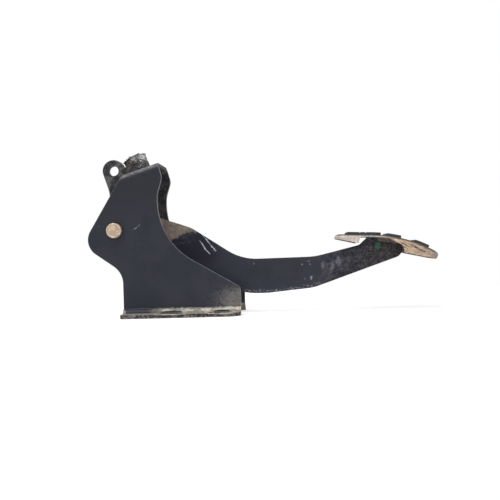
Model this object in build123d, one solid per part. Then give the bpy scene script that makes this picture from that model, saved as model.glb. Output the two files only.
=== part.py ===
"""Floor-mounted rear brake pedal: pressed bracket, cranked lever, foot pad and stop bolt.

Millimetres. +X runs from the bracket to the foot pad, +Z is up, and the origin is the
middle of the four mounting slots, on the face that is bolted down. The lever lies on its
lower stop, as the pedal does when nothing holds it up.
"""
import os
from math import asin, atan2, cos, hypot, radians, sin, sqrt, tan

from build123d import *

# Pivot, measured from the origin
pivot_back = 64.0
pivot_height = 69.5

# Bracket, pressed from one sheet
bracket_width = 50.0
sheet = 3.0
web_bend_inside = 2.0
base_ahead_of_slots = 7.5
base_behind_slots = 30.5
flange_depth = 18.0
flange_bend_inside = 3.5
flange_front_corner = 12.0
flange_back_corner = 4.0
slot_length = 16.0
slot_width = 9.0
slot_pitch = 40.0
slot_from_side = 10.5

# Side plate outline: the web from the pivot, the front edge from the web's front corner
web_angle = 18.25
web_length = 29.6
web_back = 6.7
web_rise = 44.8
brow_ahead = 3.6
brow_drop = 12.5
brow_radius = 10.0
throat_set_back = 0.6
throat_drop = 25.5
throat_radius = 24.0
crook_drop = 63.1
crook_lead = 2.4
toe_height = 22.0
toe_radius = 5.0
heel_drop = 33.8
heel_radius = 17.0
boss_back = 26.5
boss_drop = 11.1
boss_radius = 14.0

# Lever, cut from one plate, measured from the pivot, and its end from the foot pad
lever_thickness = 6.0
hub_radius = 20.0
lug_radius = 9.0
lug_rise = 50.0
lug_hole = 8.2
stop_gap = 0.3
neck_rise = 25.8
neck_radius = 20.0
crotch_radius = 10.0
shoulder_reach = 57.4
shoulder_rise = 1.85
shoulder_radius = 25.0
elbow_reach = 98.9
elbow_drop = 25.5
elbow_radius = 45.0
level_set_back = 36.9
level_below = 8.7
level_radius = 60.0
step_ahead = 19.8
step_below = 9.0
step_radius = 5.0
step_angle = 42.0
step_climb = 12.0
tip_set_in = 28.7
tip_below = 9.1
tip_radius = 7.0
flank_drop = 32.0
flank_radius = 60.0
flank_reach = 61.5
belly_ahead = 33.4
belly_drop = 53.8
belly_length = 25.5
belly_radius = 60.0
belly_end_radius = 80.0
rise_ahead = 37.9
rise_height = 3.6
rise_radius = 40.0

# Foot pad, pressed tray, measured from the pivot
pad_start = 176.9
pad_drop = 6.95
pad_width = 44.0
pad_sheet = 2.0
pad_tilt = 2.0
pad_flat = 29.3
pad_bend = 109.8
pad_sweep = 30.1
pad_heel_lip = 3.6
pad_toe_lip = 4.9
pad_corner = 8.0
pad_edge = 2.6
window_start = 18.6
window_length = 37.2
window_heel_depth = 6.6
window_crest = 24.0
window_crest_depth = 8.4
window_toe_depth = 5.0
window_radius = 4.4
window_toe_radius = 6.0

# Rubber tread bars: the start of each along the pad and its length, as shares of the pad's length
tread_bars = ((0.1024, 0.1159), (0.2275, 0.0452), (0.282, 0.1356), (0.4733, 0.1345), (0.7364, 0.1414))
tread_width = 36.0
tread_height = 2.0
tread_edge = 0.7

# Pivot pin, bushes and the tube they sit in
pin_diameter = 12.0
pin_proud = 6.0
pin_chamfer = 0.7
bush_wall = 2.0
bush_length = 15.0
bush_flange = 1.5
bush_flange_step = 3.0
tube_wall = 3.0
running_clearance = 0.05
side_play = 0.3
thrust_thickness = 1.5
thrust_diameter = 24.0
washer_thickness = 2.5
washer_diameter = 24.0
loose_clearance = 0.5
split_pin_diameter = 3.0
split_pin_clearance = 0.2
split_pin_eye = 2.6
split_pin_leg = 5.2
split_pin_spread = 50.0
pin_end_margin = 3.0

# Stop bolt, lock nut and weld nut, all to one thread size
stop_thread = 12.0
stop_set_in = 10.2
across_flats = 19.0
head_height = 7.5
lock_nut_height = 7.0
weld_nut_height = 10.0
stop_length = 38.0
stop_chamfer = 1.6
thread_clearance = 0.05
stop_hole_clearance = 0.5
hex_chamfer_angle = 30.0
hex_turn = 30.0

# Weld fillets
hub_weld = 4.0
pad_weld = 3.0
pad_weld_set_in = 14.9
pad_weld_end = 33.5
weld_gap = 0.1

# Longer than any piece, for cutters; how near a point must be to match; least slope of an upper face
far_beyond = 400.0
match = 0.05
face_up = 0.5

# Worked out from the values above
pivot = (-pivot_back, pivot_height)
half_width = bracket_width / 2
inner_half = half_width - sheet
base_front = (slot_pitch + slot_length) / 2 + base_ahead_of_slots
base_back = -(slot_pitch + slot_length) / 2 - base_behind_slots
base_length = base_front - base_back
along_web = (cos(radians(web_angle)), sin(radians(web_angle)))
up_web = (-along_web[1], along_web[0])
tube_bore = pin_diameter + 2 * (running_clearance + bush_wall)
tube_diameter = tube_bore + 2 * tube_wall
flange_face = inner_half - thrust_thickness - side_play
tube_half = flange_face - bush_flange
pin_far = half_width + washer_thickness + split_pin_diameter + pin_end_margin
across_axis = Vector(0, 1, 0)


def step_from(point, direction, distance):
    """The point that lies a distance away along a direction, in X and Z."""
    return (point[0] + direction[0] * distance, point[1] + direction[1] * distance)


def from_pivot(reach, rise):
    """A point given by its distances from the pivot, in X and Z."""
    return (pivot[0] + reach, pivot[1] + rise)


def tangent_touch(point, centre, radius, side):
    """Where the line from a point touches a circle; side 1 is the left one, -1 the right."""
    reach, rise = centre[0] - point[0], centre[1] - point[1]
    distance = hypot(reach, rise)
    heading = atan2(rise, reach) + side * asin(radius / distance)
    length = sqrt(distance**2 - radius**2)
    return step_from(point, (cos(heading), sin(heading)), length)


def crossing(point_a, way_a, point_b, way_b):
    """Where two lines cross, each given by a point and a direction."""
    cross = way_a[0] * way_b[1] - way_a[1] * way_b[0]
    reach, rise = point_b[0] - point_a[0], point_b[1] - point_a[1]
    return step_from(point_a, way_a, (reach * way_b[1] - rise * way_b[0]) / cross)


def half_turn(before, corner, after):
    """The tangent of half the turn that a path makes at a corner."""
    heading_in = atan2(corner[1] - before[1], corner[0] - before[0])
    heading_out = atan2(after[1] - corner[1], after[0] - corner[0])
    return abs(tan((heading_out - heading_in) / 2))


def outline(corners):
    """A closed face in X and Z from corners that each have a radius; 0 is a sharp one."""
    points = [corner[0] for corner in corners]
    radii = [corner[1] for corner in corners]
    return make_face(Plane.XZ * FilletPolyline(*points, radius=radii, close=True))


def plate(face, y_low, y_high):
    """The solid that a face in X and Z sweeps between two distances across the pedal."""
    return Location((0, y_low, 0)) * extrude(face, amount=y_high - y_low, dir=across_axis)


def turned(profile, centre=pivot):
    """A round solid about an axis across the pedal, from (radius, y) corners."""
    flat = make_face(Plane.XY * Polyline(*profile, close=True))
    return Location((centre[0], 0, centre[1])) * revolve(flat, Axis.Y)


def ring(outer, bore, y_low, y_high):
    """A plain washer or tube round the pivot."""
    return turned(((bore / 2, y_low), (outer / 2, y_low), (outer / 2, y_high), (bore / 2, y_high)))


web_corner = from_pivot(web_back, web_rise)
web_front = step_from(web_corner, along_web, web_length)
stop_foot = step_from(web_corner, along_web, stop_set_in)


def side_outline():
    """One side plate, seen from the side, down to the mounting face."""
    brow = step_from(web_front, (brow_ahead, -brow_drop), 1)
    throat = step_from(web_front, (-throat_set_back, -throat_drop), 1)
    crook = step_from(web_front, (-throat_set_back, -crook_drop), 1)
    toe = (base_front, toe_height)
    throat_run = throat_radius * half_turn(brow, throat, crook)
    crook_run = throat[1] - crook[1] - throat_run - crook_lead
    crook_radius = crook_run / half_turn(throat, crook, toe)
    return outline((
        (web_corner, 0),
        (web_front, 0),
        (brow, brow_radius),
        (throat, throat_radius),
        (crook, crook_radius),
        (toe, toe_radius),
        ((base_front, 0), 0),
        ((base_back, 0), 0),
        ((base_back, pivot_height - heel_drop), heel_radius),
        (from_pivot(-boss_back, -boss_drop), boss_radius),
    ))


def web_plane():
    """A plane on the web's outer face, at the stop bolt, facing along the bolt."""
    return Plane(
        origin=(stop_foot[0], 0, stop_foot[1]),
        x_dir=(along_web[0], 0, along_web[1]),
        z_dir=(up_web[0], 0, up_web[1]),
    )


def flange_strip(side):
    """One foot flange with its bend, out from a side plate; side is 1 far and -1 near."""
    bend_outside = flange_bend_inside + sheet
    edge = half_width + flange_depth
    turn = half_width + flange_bend_inside
    section = Polyline(
        (turn, sheet), (edge, sheet), (edge, 0), (turn, 0)
    ) + RadiusArc((turn, 0), (inner_half, bend_outside), -bend_outside)
    section += Line((inner_half, bend_outside), (half_width, bend_outside))
    section += RadiusArc((half_width, bend_outside), (turn, sheet), flange_bend_inside)
    strip = extrude(make_face(Plane.YZ * section), amount=base_length, dir=(1, 0, 0))
    strip = Location((base_back, 0, 0)) * strip
    outer_corners = strip.edges().filter_by(Axis.Z).group_by(Axis.Y)[-1].sort_by(Axis.X)
    strip = fillet(outer_corners[0], flange_back_corner)
    front = strip.edges().filter_by(Axis.Z).sort_by(Axis.X)[-1]
    strip = fillet(front, flange_front_corner)
    slot = extrude(SlotOverall(slot_length, slot_width), amount=sheet)
    for along in (-slot_pitch / 2, slot_pitch / 2):
        strip -= Location((along, half_width + slot_from_side, 0)) * slot
    return strip if side > 0 else mirror(strip, Plane.XZ)


def make_bracket():
    """Two side plates, the slanted web that joins them and two out-turned flanges."""
    bend_outside = flange_bend_inside + sheet
    body = plate(side_outline(), -half_width, half_width)
    web_edges = body.edges().filter_by(
        lambda edge: abs(abs(edge.center().Y) - half_width) < match
        and abs((edge.center() - web_plane().origin).dot(web_plane().z_dir)) < match
    )
    body = fillet(web_edges, web_bend_inside + sheet)
    inside = Box(far_beyond, 2 * inner_half, far_beyond, align=(Align.CENTER, Align.CENTER, Align.MAX))
    inside = fillet(inside.edges().filter_by(Axis.X).group_by(Axis.Z)[-1], web_bend_inside)
    body -= web_plane().offset(-sheet) * inside
    behind = Box(
        far_beyond, 2 * inner_half, far_beyond, align=(Align.MAX, Align.CENTER, Align.CENTER)
    )
    body -= web_plane() * Location((-stop_set_in, 0, 0)) * behind
    body -= Box(far_beyond, far_beyond, 2 * bend_outside)
    for side in (-1, 1):
        body += flange_strip(side)
    body -= ring(pin_diameter, 0, -half_width, half_width)
    hole = Cylinder(stop_thread / 2 + stop_hole_clearance, far_beyond)
    return body - web_plane() * hole


def pad_point(along, above=0.0):
    """A point on the pad's upper face, or above it, by its distance along the pad."""
    tilt = radians(pad_tilt)
    start = from_pivot(pad_start, -pad_drop)
    if along <= pad_flat:
        spot = step_from(start, (cos(tilt), -sin(tilt)), along)
        return step_from(spot, (sin(tilt), cos(tilt)), above)
    knee = step_from(start, (cos(tilt), -sin(tilt)), pad_flat)
    centre = step_from(knee, (sin(tilt), cos(tilt)), -pad_bend)
    angle = tilt + (along - pad_flat) / pad_bend
    return step_from(centre, (sin(angle), cos(angle)), pad_bend + above)


def pad_curve(start, end, above):
    """Edges that follow the pad's upper face, a straight stretch and then one arc."""
    middle = (max(start, pad_flat) + end) / 2
    arc = ThreePointArc(
        pad_point(max(start, pad_flat), above), pad_point(middle, above), pad_point(end, above)
    )
    if start >= pad_flat:
        return [arc]
    return [Line(pad_point(start, above), pad_point(pad_flat, above)), arc]


def pad_strip(start, end, low, high):
    """A face in X and Z between two heights over the pad's upper face."""
    if end <= pad_flat:
        loop = Polyline(
            pad_point(start, low), pad_point(start, high), pad_point(end, high),
            pad_point(end, low), close=True,
        )
        return make_face(Plane.XZ * loop)
    edges = pad_curve(start, end, high) + pad_curve(start, end, low)
    edges += [Line(pad_point(start, low), pad_point(start, high))]
    edges += [Line(pad_point(end, low), pad_point(end, high))]
    return make_face(Plane.XZ * Curve(edges))


pad_length = pad_flat + radians(pad_sweep) * pad_bend


def pad_form(inset, extra):
    """The pad's outer form, or its inner one set in by the sheet and open below."""
    start, end = inset, pad_length - inset
    heel, toe = pad_point(start, -pad_heel_lip - extra), pad_point(end, -pad_toe_lip - extra)
    edges = pad_curve(start, end, -inset)
    edges += [Line(heel, pad_point(start, -inset)), Line(pad_point(end, -inset), toe), Line(toe, heel)]
    half = pad_width / 2 - inset
    form = plate(make_face(Plane.XZ * Curve(edges)), -half, half)
    uprights = form.edges().filter_by(
        lambda edge: edge.geom_type == GeomType.LINE
        and abs(edge.center().Y) > half - match
        and edge.length < pad_toe_lip + extra + pad_edge
    )
    form = fillet(uprights, pad_corner - inset)
    knee = Vector(pad_point(pad_flat, -inset)[0], 0, pad_point(pad_flat, -inset)[1])
    tops = form.faces().filter_by(lambda face: face.normal_at(face.center()).Z > face_up)
    rim = [
        edge for face in tops for edge in face.edges()
        if (edge.center() - knee).length > match
    ]
    return fillet(rim, pad_edge - inset)


def make_pad():
    """Pressed tray, curved along its length, with a window in each side for the lever."""
    pad = pad_form(0, 0) - pad_form(pad_sheet, pad_edge)
    heel, toe = pad_point(0, -pad_heel_lip), pad_point(pad_length, -pad_toe_lip)
    run = hypot(toe[0] - heel[0], toe[1] - heel[1])
    way = ((toe[0] - heel[0]) / run, (toe[1] - heel[1]) / run)
    up = (-way[1], way[0])
    near, far = step_from(heel, way, window_start), step_from(heel, way, window_start + window_length)
    crest = step_from(step_from(near, way, window_crest), up, window_crest_depth)
    window = outline((
        (step_from(near, up, -window_heel_depth), 0),
        (step_from(near, up, window_heel_depth), window_radius),
        (crest, window_radius),
        (step_from(far, up, window_toe_depth), window_toe_radius),
        (step_from(far, up, -window_toe_depth), 0),
    ))
    window -= pad_strip(0, pad_length, -pad_sheet, pad_sheet)
    return pad - plate(window, -pad_width, pad_width)


def lever_outline():
    """The lever in one piece: hub eye, upper crank with its lug, and the long arm."""
    side_step = lug_radius + stop_gap
    crank_line = step_from(web_corner, along_web, -side_step)
    lug = crossing(crank_line, up_web, from_pivot(0, lug_rise), (1, 0))
    down = (-up_web[0], -up_web[1])
    lug_left = step_from(lug, along_web, -lug_radius)
    lug_right = step_from(lug, along_web, lug_radius)
    neck = crossing(lug_left, down, from_pivot(0, neck_rise), (1, 0))
    shoulder = from_pivot(shoulder_reach, shoulder_rise)
    flank = from_pivot(flank_reach, -flank_drop)
    belly = from_pivot(flank_reach + belly_ahead, -belly_drop)
    belly_end = step_from(belly, (belly_length, 0), 1)
    arm_top = tangent_touch(shoulder, pivot, hub_radius, -1)
    slope = (shoulder[0] - arm_top[0], shoulder[1] - arm_top[1])
    crotch = crossing(lug_right, down, shoulder, slope)
    step = from_pivot(pad_start + step_ahead, -pad_drop - step_below)
    arm_end = pad_point(pad_length)[0] - tip_set_in
    climb = (cos(radians(step_angle)), sin(radians(step_angle)))
    level_end = step_from(step, (-level_set_back, -level_below), 1)
    face = outline((
        (lug_left, 0),
        (lug_right, 0),
        (crotch, crotch_radius),
        (shoulder, shoulder_radius),
        (from_pivot(elbow_reach, -elbow_drop), elbow_radius),
        (level_end, level_radius),
        (step, step_radius),
        (step_from(step, climb, step_climb), 0),
        ((arm_end, step[1] + step_climb), 0),
        ((arm_end, step[1] - tip_below), tip_radius),
        (step_from(belly_end, (rise_ahead, rise_height), 1), rise_radius),
        (belly_end, belly_end_radius),
        (belly, belly_radius),
        (flank, flank_radius),
        (tangent_touch(flank, pivot, hub_radius, 1), 0),
        (tangent_touch(neck, pivot, hub_radius, -1), 0),
        (neck, neck_radius),
    ))
    return face, lug


def make_lever():
    """The lever plate with its hub eye, lug hole and the seat that the pad is welded to."""
    face, lug = lever_outline()
    face -= pad_strip(0, pad_length, -pad_sheet, pad_bend / 2)
    half = lever_thickness / 2
    lever = plate(face, -half, half)
    lever += ring(2 * hub_radius, 0, -half, half)
    lever += turned(((0, -half), (lug_radius, -half), (lug_radius, half), (0, half)), lug)
    lever -= ring(tube_diameter + 2 * weld_gap, 0, -half, half)
    bore = lug_hole / 2
    return lever - turned(((0, -half), (bore, -half), (bore, half), (0, half)), lug)


def make_hub_weld():
    """A fillet of weld round the tube on each face of the lever."""
    half = lever_thickness / 2
    inner = tube_diameter / 2
    bead = turned(((inner, half), (inner + hub_weld, half), (inner, half + hub_weld)))
    return Compound(children=[bead.solid(), mirror(bead, Plane.XZ).solid()])


def make_pad_weld():
    """A fillet of weld along each face of the lever, under the pad."""
    half = lever_thickness / 2
    start = step_ahead + pad_weld_set_in
    path = Wire(Plane.XZ * Curve(pad_curve(start, pad_length - pad_weld_end, -pad_sheet)))
    foot = Plane(origin=path @ 0, x_dir=across_axis, z_dir=path % 0)
    fillet_face = make_face(foot * Polyline((half, 0), (half + pad_weld, 0), (half, -pad_weld), close=True))
    bead = sweep(fillet_face, path=path)
    return Compound(children=[bead.solid(), mirror(bead, Plane.XZ).solid()])


def make_tread(start, length):
    """One rubber tread bar, bonded to the pad, with its upper edges rounded."""
    bar = plate(pad_strip(start, start + length, 0, tread_height), -tread_width / 2, tread_width / 2)
    top = [pad_point(start, tread_height), pad_point(start + length, tread_height)]
    ends = bar.edges().filter_by(Axis.Y).filter_by(
        lambda edge: any(
            abs(edge.center().X - spot[0]) + abs(edge.center().Z - spot[1]) < match
            for spot in top
        )
    )
    return fillet(ends, tread_edge)


def make_bush(side):
    """A flanged bush, its flange against the end of the tube."""
    bore = pin_diameter / 2 + running_clearance
    sleeve = bore + bush_wall
    inner_end = tube_half - bush_length
    bush = turned((
        (bore, inner_end), (sleeve, inner_end), (sleeve, tube_half),
        (sleeve + bush_flange_step, tube_half), (sleeve + bush_flange_step, flange_face),
        (bore, flange_face),
    ))
    return bush if side > 0 else mirror(bush, Plane.XZ)


def make_pivot_pin():
    """A plain pin, driven through both side plates, with a cross hole at its far end."""
    radius = pin_diameter / 2
    near, far = -half_width - pin_proud, pin_far
    pin = turned((
        (0, near), (radius - pin_chamfer, near), (radius, near + pin_chamfer),
        (radius, far - pin_chamfer), (radius - pin_chamfer, far), (0, far),
    ))
    hole = Cylinder(split_pin_diameter / 2 + split_pin_clearance, far_beyond)
    return pin - split_pin_place() * hole


def split_pin_place():
    """Where the split pin crosses the pivot pin, just outside the far washer."""
    across = half_width + washer_thickness + split_pin_diameter / 2 + split_pin_clearance
    return Location((pivot[0], across, pivot[1]))


def make_split_pin():
    """Eye, doubled shank and two legs that are bent apart under the pivot pin."""
    wire = split_pin_diameter / 4
    reach = pin_diameter / 2 + split_pin_diameter
    eye = Location((0, 0, reach + split_pin_eye)) * Torus(split_pin_eye, wire).rotate(Axis.X, 90)
    shank = Cylinder(2 * wire, 2 * reach)
    body = eye + shank
    for side in (-1, 1):
        leg = Cylinder(wire, split_pin_leg, align=(Align.CENTER, Align.CENTER, Align.MAX))
        leg += Sphere(wire)
        body += Location((side * wire, 0, wire - reach)) * leg.rotate(Axis.Y, -side * split_pin_spread)
    return split_pin_place() * body


def hexagon(height, both_ends):
    """A hexagon block with a flat towards the lever and its corners turned off."""
    block = extrude(RegularPolygon(across_flats / 2, 6, major_radius=False, rotation=hex_turn), amount=height)
    outer = across_flats / sqrt(3)
    fall = (outer - across_flats / 2) * tan(radians(hex_chamfer_angle))
    base = [(across_flats / 2, 0), (outer, fall)] if both_ends else [(outer, 0)]
    lathe = Polyline(
        (0, 0), *base, (outer, height - fall), (across_flats / 2, height), (0, height), close=True
    )
    return block & revolve(make_face(Plane.XZ * lathe), Axis.Z)


def make_stop_bolt():
    """Hexagon bolt with its head above the lock nut and its tip over the lever."""
    seat = lock_nut_height
    radius = stop_thread / 2
    tip = seat - stop_length
    shank = Polyline(
        (0, seat), (radius, seat), (radius, tip + stop_chamfer), (radius - stop_chamfer, tip),
        (0, tip), close=True,
    )
    bolt = revolve(make_face(Plane.XZ * shank), Axis.Z)
    bolt += Location((0, 0, seat)) * hexagon(head_height, False)
    return web_plane() * bolt


def make_nut(base, height):
    """A hexagon nut on the stop bolt, from a base along the bolt up to its height."""
    bore = Cylinder(stop_thread / 2 + thread_clearance, far_beyond)
    return web_plane().offset(base) * (hexagon(height, True) - bore)


def build_parts():
    """Every piece of the pedal by name."""
    tube = ring(tube_diameter, tube_bore, -tube_half, tube_half)
    washer_bore = pin_diameter + 2 * loose_clearance
    parts = {
        "bracket": make_bracket(),
        "lever_plate": make_lever(),
        "hub_tube": tube,
        "hub_weld": make_hub_weld(),
        "bush_near": make_bush(-1),
        "bush_far": make_bush(1),
        "thrust_washer_near": ring(
            thrust_diameter, washer_bore, -inner_half, thrust_thickness - inner_half
        ),
        "thrust_washer_far": ring(
            thrust_diameter, washer_bore, inner_half - thrust_thickness, inner_half
        ),
        "pivot_pin": make_pivot_pin(),
        "pin_washer": ring(
            washer_diameter, washer_bore, half_width, half_width + washer_thickness
        ),
        "split_pin": make_split_pin(),
        "foot_pad": make_pad(),
        "pad_weld": make_pad_weld(),
        "stop_bolt": make_stop_bolt(),
        "lock_nut": make_nut(0, lock_nut_height),
        "weld_nut": make_nut(-sheet - weld_nut_height, weld_nut_height),
    }
    for number, (start, length) in enumerate(tread_bars, 1):
        parts[f"tread_bar_{number}"] = make_tread(start * pad_length, length * pad_length)
    return parts


os.makedirs("parts", exist_ok=True)
for name, part in build_parts().items():
    export_step(part, f"parts/{name}.step")
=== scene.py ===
"""Finish of a floor-mounted brake pedal: paint, wear, rust, threads, weld beads and a studio stage.

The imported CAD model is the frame. Lengths are in metres, and patterns are laid out in
millimetres of the object's own space: X to the foot pad, Y across, Z up.
"""
from math import pi, radians

import bmesh
import bpy
import numpy as np
from bpy.props import FloatProperty, FloatVectorProperty, PointerProperty
from bpy.types import NodeSocket, Operator, Panel, PropertyGroup
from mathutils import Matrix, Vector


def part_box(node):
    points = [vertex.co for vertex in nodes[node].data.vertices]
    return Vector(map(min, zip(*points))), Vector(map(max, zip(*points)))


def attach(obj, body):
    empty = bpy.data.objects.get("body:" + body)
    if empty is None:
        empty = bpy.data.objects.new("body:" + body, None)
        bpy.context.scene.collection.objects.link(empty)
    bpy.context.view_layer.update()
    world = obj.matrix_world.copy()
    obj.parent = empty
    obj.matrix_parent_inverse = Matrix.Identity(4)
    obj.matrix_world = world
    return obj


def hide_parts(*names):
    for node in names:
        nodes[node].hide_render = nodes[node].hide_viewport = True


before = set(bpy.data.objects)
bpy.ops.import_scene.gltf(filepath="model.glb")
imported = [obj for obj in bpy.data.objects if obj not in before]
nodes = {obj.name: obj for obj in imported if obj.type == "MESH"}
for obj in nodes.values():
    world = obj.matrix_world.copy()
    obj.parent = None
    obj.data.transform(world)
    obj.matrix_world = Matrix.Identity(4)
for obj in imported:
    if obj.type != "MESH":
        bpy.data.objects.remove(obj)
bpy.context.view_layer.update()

bl_info = {
    "name": "Brake pedal finish",
    "version": (1, 0, 0),
    "blender": (4, 5, 0),
    "location": "3D View > Sidebar > Pedal",
    "description": "Paint, wear, hardware detail and a studio stage for a pressed steel brake pedal",
    "category": "Object",
}

MM = 0.001
ACROSS = np.array((0.0, 1.0, 0.0))


def middle_of(node):
    """The middle of a CAD node's box, in metres."""
    low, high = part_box(node)
    return (np.array(low) + np.array(high)) / 2


def web_axes(lean):
    """The directions along the sloping web and square to it."""
    along = np.array((np.cos(lean), 0.0, np.sin(lean)))
    return along, np.array((-along[2], 0.0, along[0]))


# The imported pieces' own sizes, in metres. PAD_ values follow the pad's upper face: where it
# starts from the pivot, its tilt, its straight stretch, the radius of its arc, its sheet, and
# how far along it the weld beads start and end.
PIVOT = middle_of("pivot_pin") * (1.0, 0.0, 1.0)
LEAN = radians(18.25)
LOCK_NUT = 0.007
TUBE_RADIUS = 0.01105
LEVER_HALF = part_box("lever_plate")[1][1]
PAD_START = (0.1769, 0.0, -0.00695)
PAD_TILT = radians(2.0)
PAD_FLAT = 0.0293
PAD_BEND = 0.1098
PAD_SHEET = 0.002
PAD_BEAD = (0.0348, 0.0534)

# Places for the patterns, in millimetres. The plates' and the pad's faces are distances from
# the middle plane, FLANGE_TOP is a height, and the slots lie alike in all four quarters.
PLATE_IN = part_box("thrust_washer_far")[1][1] / MM
PLATE_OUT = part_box("pin_washer")[0][1] / MM
PAD_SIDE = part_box("foot_pad")[1][1] / MM
FLANGE_TOP = 3.0
PIN_RADIUS = 6.0
SLOT_X = 20.0
SLOT_OFF = 35.5
SLOT_STRAIGHT = 3.5
SLOT_RADIUS = 4.5


def pad_frame():
    """The start of the pad's upper face, its direction, its normal and the centre of its arc."""
    start = PIVOT + PAD_START
    along = np.array((np.cos(PAD_TILT), 0.0, -np.sin(PAD_TILT)))
    normal = np.array((np.sin(PAD_TILT), 0.0, np.cos(PAD_TILT)))
    return start, along, normal, start + along * PAD_FLAT - normal * PAD_BEND


def tint(name, description, default):
    """A colour property."""
    return FloatVectorProperty(
        name=name, description=description, default=default, subtype="COLOR", size=3, min=0, max=1
    )


def length(name, description, default):
    """A length property, in metres."""
    return FloatProperty(
        name=name, description=description, default=default, unit="LENGTH", subtype="DISTANCE"
    )


def share(name, description, default):
    """A property from 0 to 1."""
    return FloatProperty(
        name=name, description=description, default=default, min=0, max=1, subtype="FACTOR"
    )


class PedalPaint(PropertyGroup):
    """Colours and wear of the painted pieces."""

    bracket: tint("Bracket paint", "Satin black of the pressed bracket", (0.0118, 0.014, 0.023))
    lever: tint("Lever paint", "Blue black of the lever", (0.011, 0.013, 0.024))
    # Deep paint stands for painted shade on the bracket's upper part and on the lever below its rubbed
    # patch; it also darkens the gaps in the arm's dirt.
    deep: tint("Deep paint", "Blue black where the paint is darkest", (0.004, 0.005, 0.011))
    # This black is dirt, and also painted shade in and round the flange slots, beside them, round the pin's
    # hole and on the pin's side by the plate.
    soot_and_shade: tint("Soot", "Black dirt in corners and holes", (0.008, 0.008, 0.009))
    dust: tint("Dust", "Dry dust that clings to the paint", (0.21, 0.18, 0.155))
    mud: tint("Mud", "Brown dirt near the pivot and under the pad", (0.105, 0.082, 0.07))
    scuff: tint("Scuff", "Grey brown of scuffed paint", (0.2, 0.185, 0.175))
    tan: tint("Rubbed patch", "Tan of the lever where it rubs by the pivot", (0.245, 0.19, 0.145))
    bare: tint("Bare steel", "Steel where the paint has gone", (0.42, 0.39, 0.37))
    # This pale grey paints chips, scratches and worn edges, and also the painted highlight along the web's
    # bends.
    chips_and_highlight: tint("Chips", "Pale chips along the lever", (0.4, 0.4, 0.45))
    # On the bracket's cut edges this grey is partly a painted highlight.
    rubbed: tint("Cut edges", "Grey of worn cut edges, and of dust on rubber", (0.2, 0.2, 0.215))
    cream: tint("Rubbed primer", "Pale rubbed metal along the foot bends", (0.62, 0.55, 0.47))
    olive: tint("Washer rub", "Olive grey rub left by the washers", (0.23, 0.225, 0.19))
    dab: tint("Paint dab", "Small green dab of marking paint", (0.025, 0.12, 0.09))
    edge: length("Edge wear", "Width of the wear along cut edges", 0.00045)
    gloss: share("Roughness", "Roughness of clean paint", 0.42)


class PedalMetal(PropertyGroup):
    """Colours of the bare, plated and rusty pieces."""

    pad: tint("Pad steel", "Grey pink bare steel of the foot pad", (0.5, 0.46, 0.43))
    cream: tint("Cream film", "Cream film on the pad's front skirt", (0.68, 0.52, 0.36))
    tan: tint("Old rust film", "Tan film of old rust on the pad", (0.42, 0.29, 0.2))
    blush: tint("Blush", "Pink brown stain on the pad", (0.27, 0.18, 0.16))
    rust: tint("Rust", "Dark orange rust", (0.17, 0.08, 0.04))
    # This colour is rust, and also the painted shadow line under the pad's top plate.
    dark_rust_and_shade: tint("Dark rust", "Nearly black rust in the hollows", (0.04, 0.027, 0.022))
    plate: tint("Zinc plate", "Yellow zinc plate of the pivot pin", (0.58, 0.44, 0.315))
    # The bright rim of the pin's end is a painted highlight.
    rim_highlight: tint("Rubbed plate", "Rubbed rim of the pin's end", (0.85, 0.76, 0.62))
    bronze: tint("Bronze", "Sintered bronze of the bushes", (0.5, 0.33, 0.15))
    washer: tint("Dull zinc", "Zinc plate gone dull on washers and split pin", (0.42, 0.41, 0.39))
    bolt: tint("Bolt steel", "Corroded steel of bolt and nuts", (0.03, 0.03, 0.032))
    crust: tint("Crust", "Pale crust on corroded steel", (0.5, 0.5, 0.5))
    rubber: tint("Rubber", "Black rubber of the tread bars", (0.022, 0.022, 0.023))


class PedalHardware(PropertyGroup):
    """Sizes of the stop bolt, its nuts and the split pin."""

    thread: length("Thread", "Diameter of the stop bolt's thread", 0.012)
    pitch: length("Pitch", "Thread pitch", 0.00175)
    flats: length("Across flats", "Width of bolt head and nuts across their flats", 0.019)
    head: length("Head height", "Height of the bolt head", 0.0075)
    lock: length("Lock nut height", "Height of the thin nut on the web", LOCK_NUT)
    nut: length("Weld nut height", "Height of the nut under the web", 0.010)
    bolt: length("Bolt length", "From under the head to the tip", 0.038)
    sheet: length("Web thickness", "Thickness of the web between the nuts", 0.003)
    tip: length("Tip chamfer", "Chamfer at the bolt's tip", 0.0016)
    pitting: length("Pitting", "How deep corrosion has eaten into bolt and nut", 0.0004)
    foot: FloatVectorProperty(
        name="Bolt foot", description="Where the bolt's axis meets the web's outer face",
        default=middle_of("lock_nut") - web_axes(LEAN)[1] * LOCK_NUT / 2,
        size=3, subtype="TRANSLATION", unit="LENGTH",
    )
    lean: FloatProperty(
        name="Lean", description="Slope of the web, which the bolt stands square on",
        default=LEAN, subtype="ANGLE", unit="ROTATION",
    )
    pin_wire: length("Split pin", "Diameter of the closed split pin", 0.003)
    pin_eye: length("Split pin eye", "Radius inside the eye", 0.00185)


class PedalWelds(PropertyGroup):
    """Sizes of the weld beads."""

    hub_leg: length("Hub bead", "Leg of the bead between tube and lever", 0.004)
    pad_leg: length("Pad bead", "Leg of the bead between lever and pad", 0.003)
    ripple: length("Ripple", "Distance from one ripple to the next", 0.0021)
    depth: share("Ripple depth", "Depth of a ripple as a share of the leg", 0.11)


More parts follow.
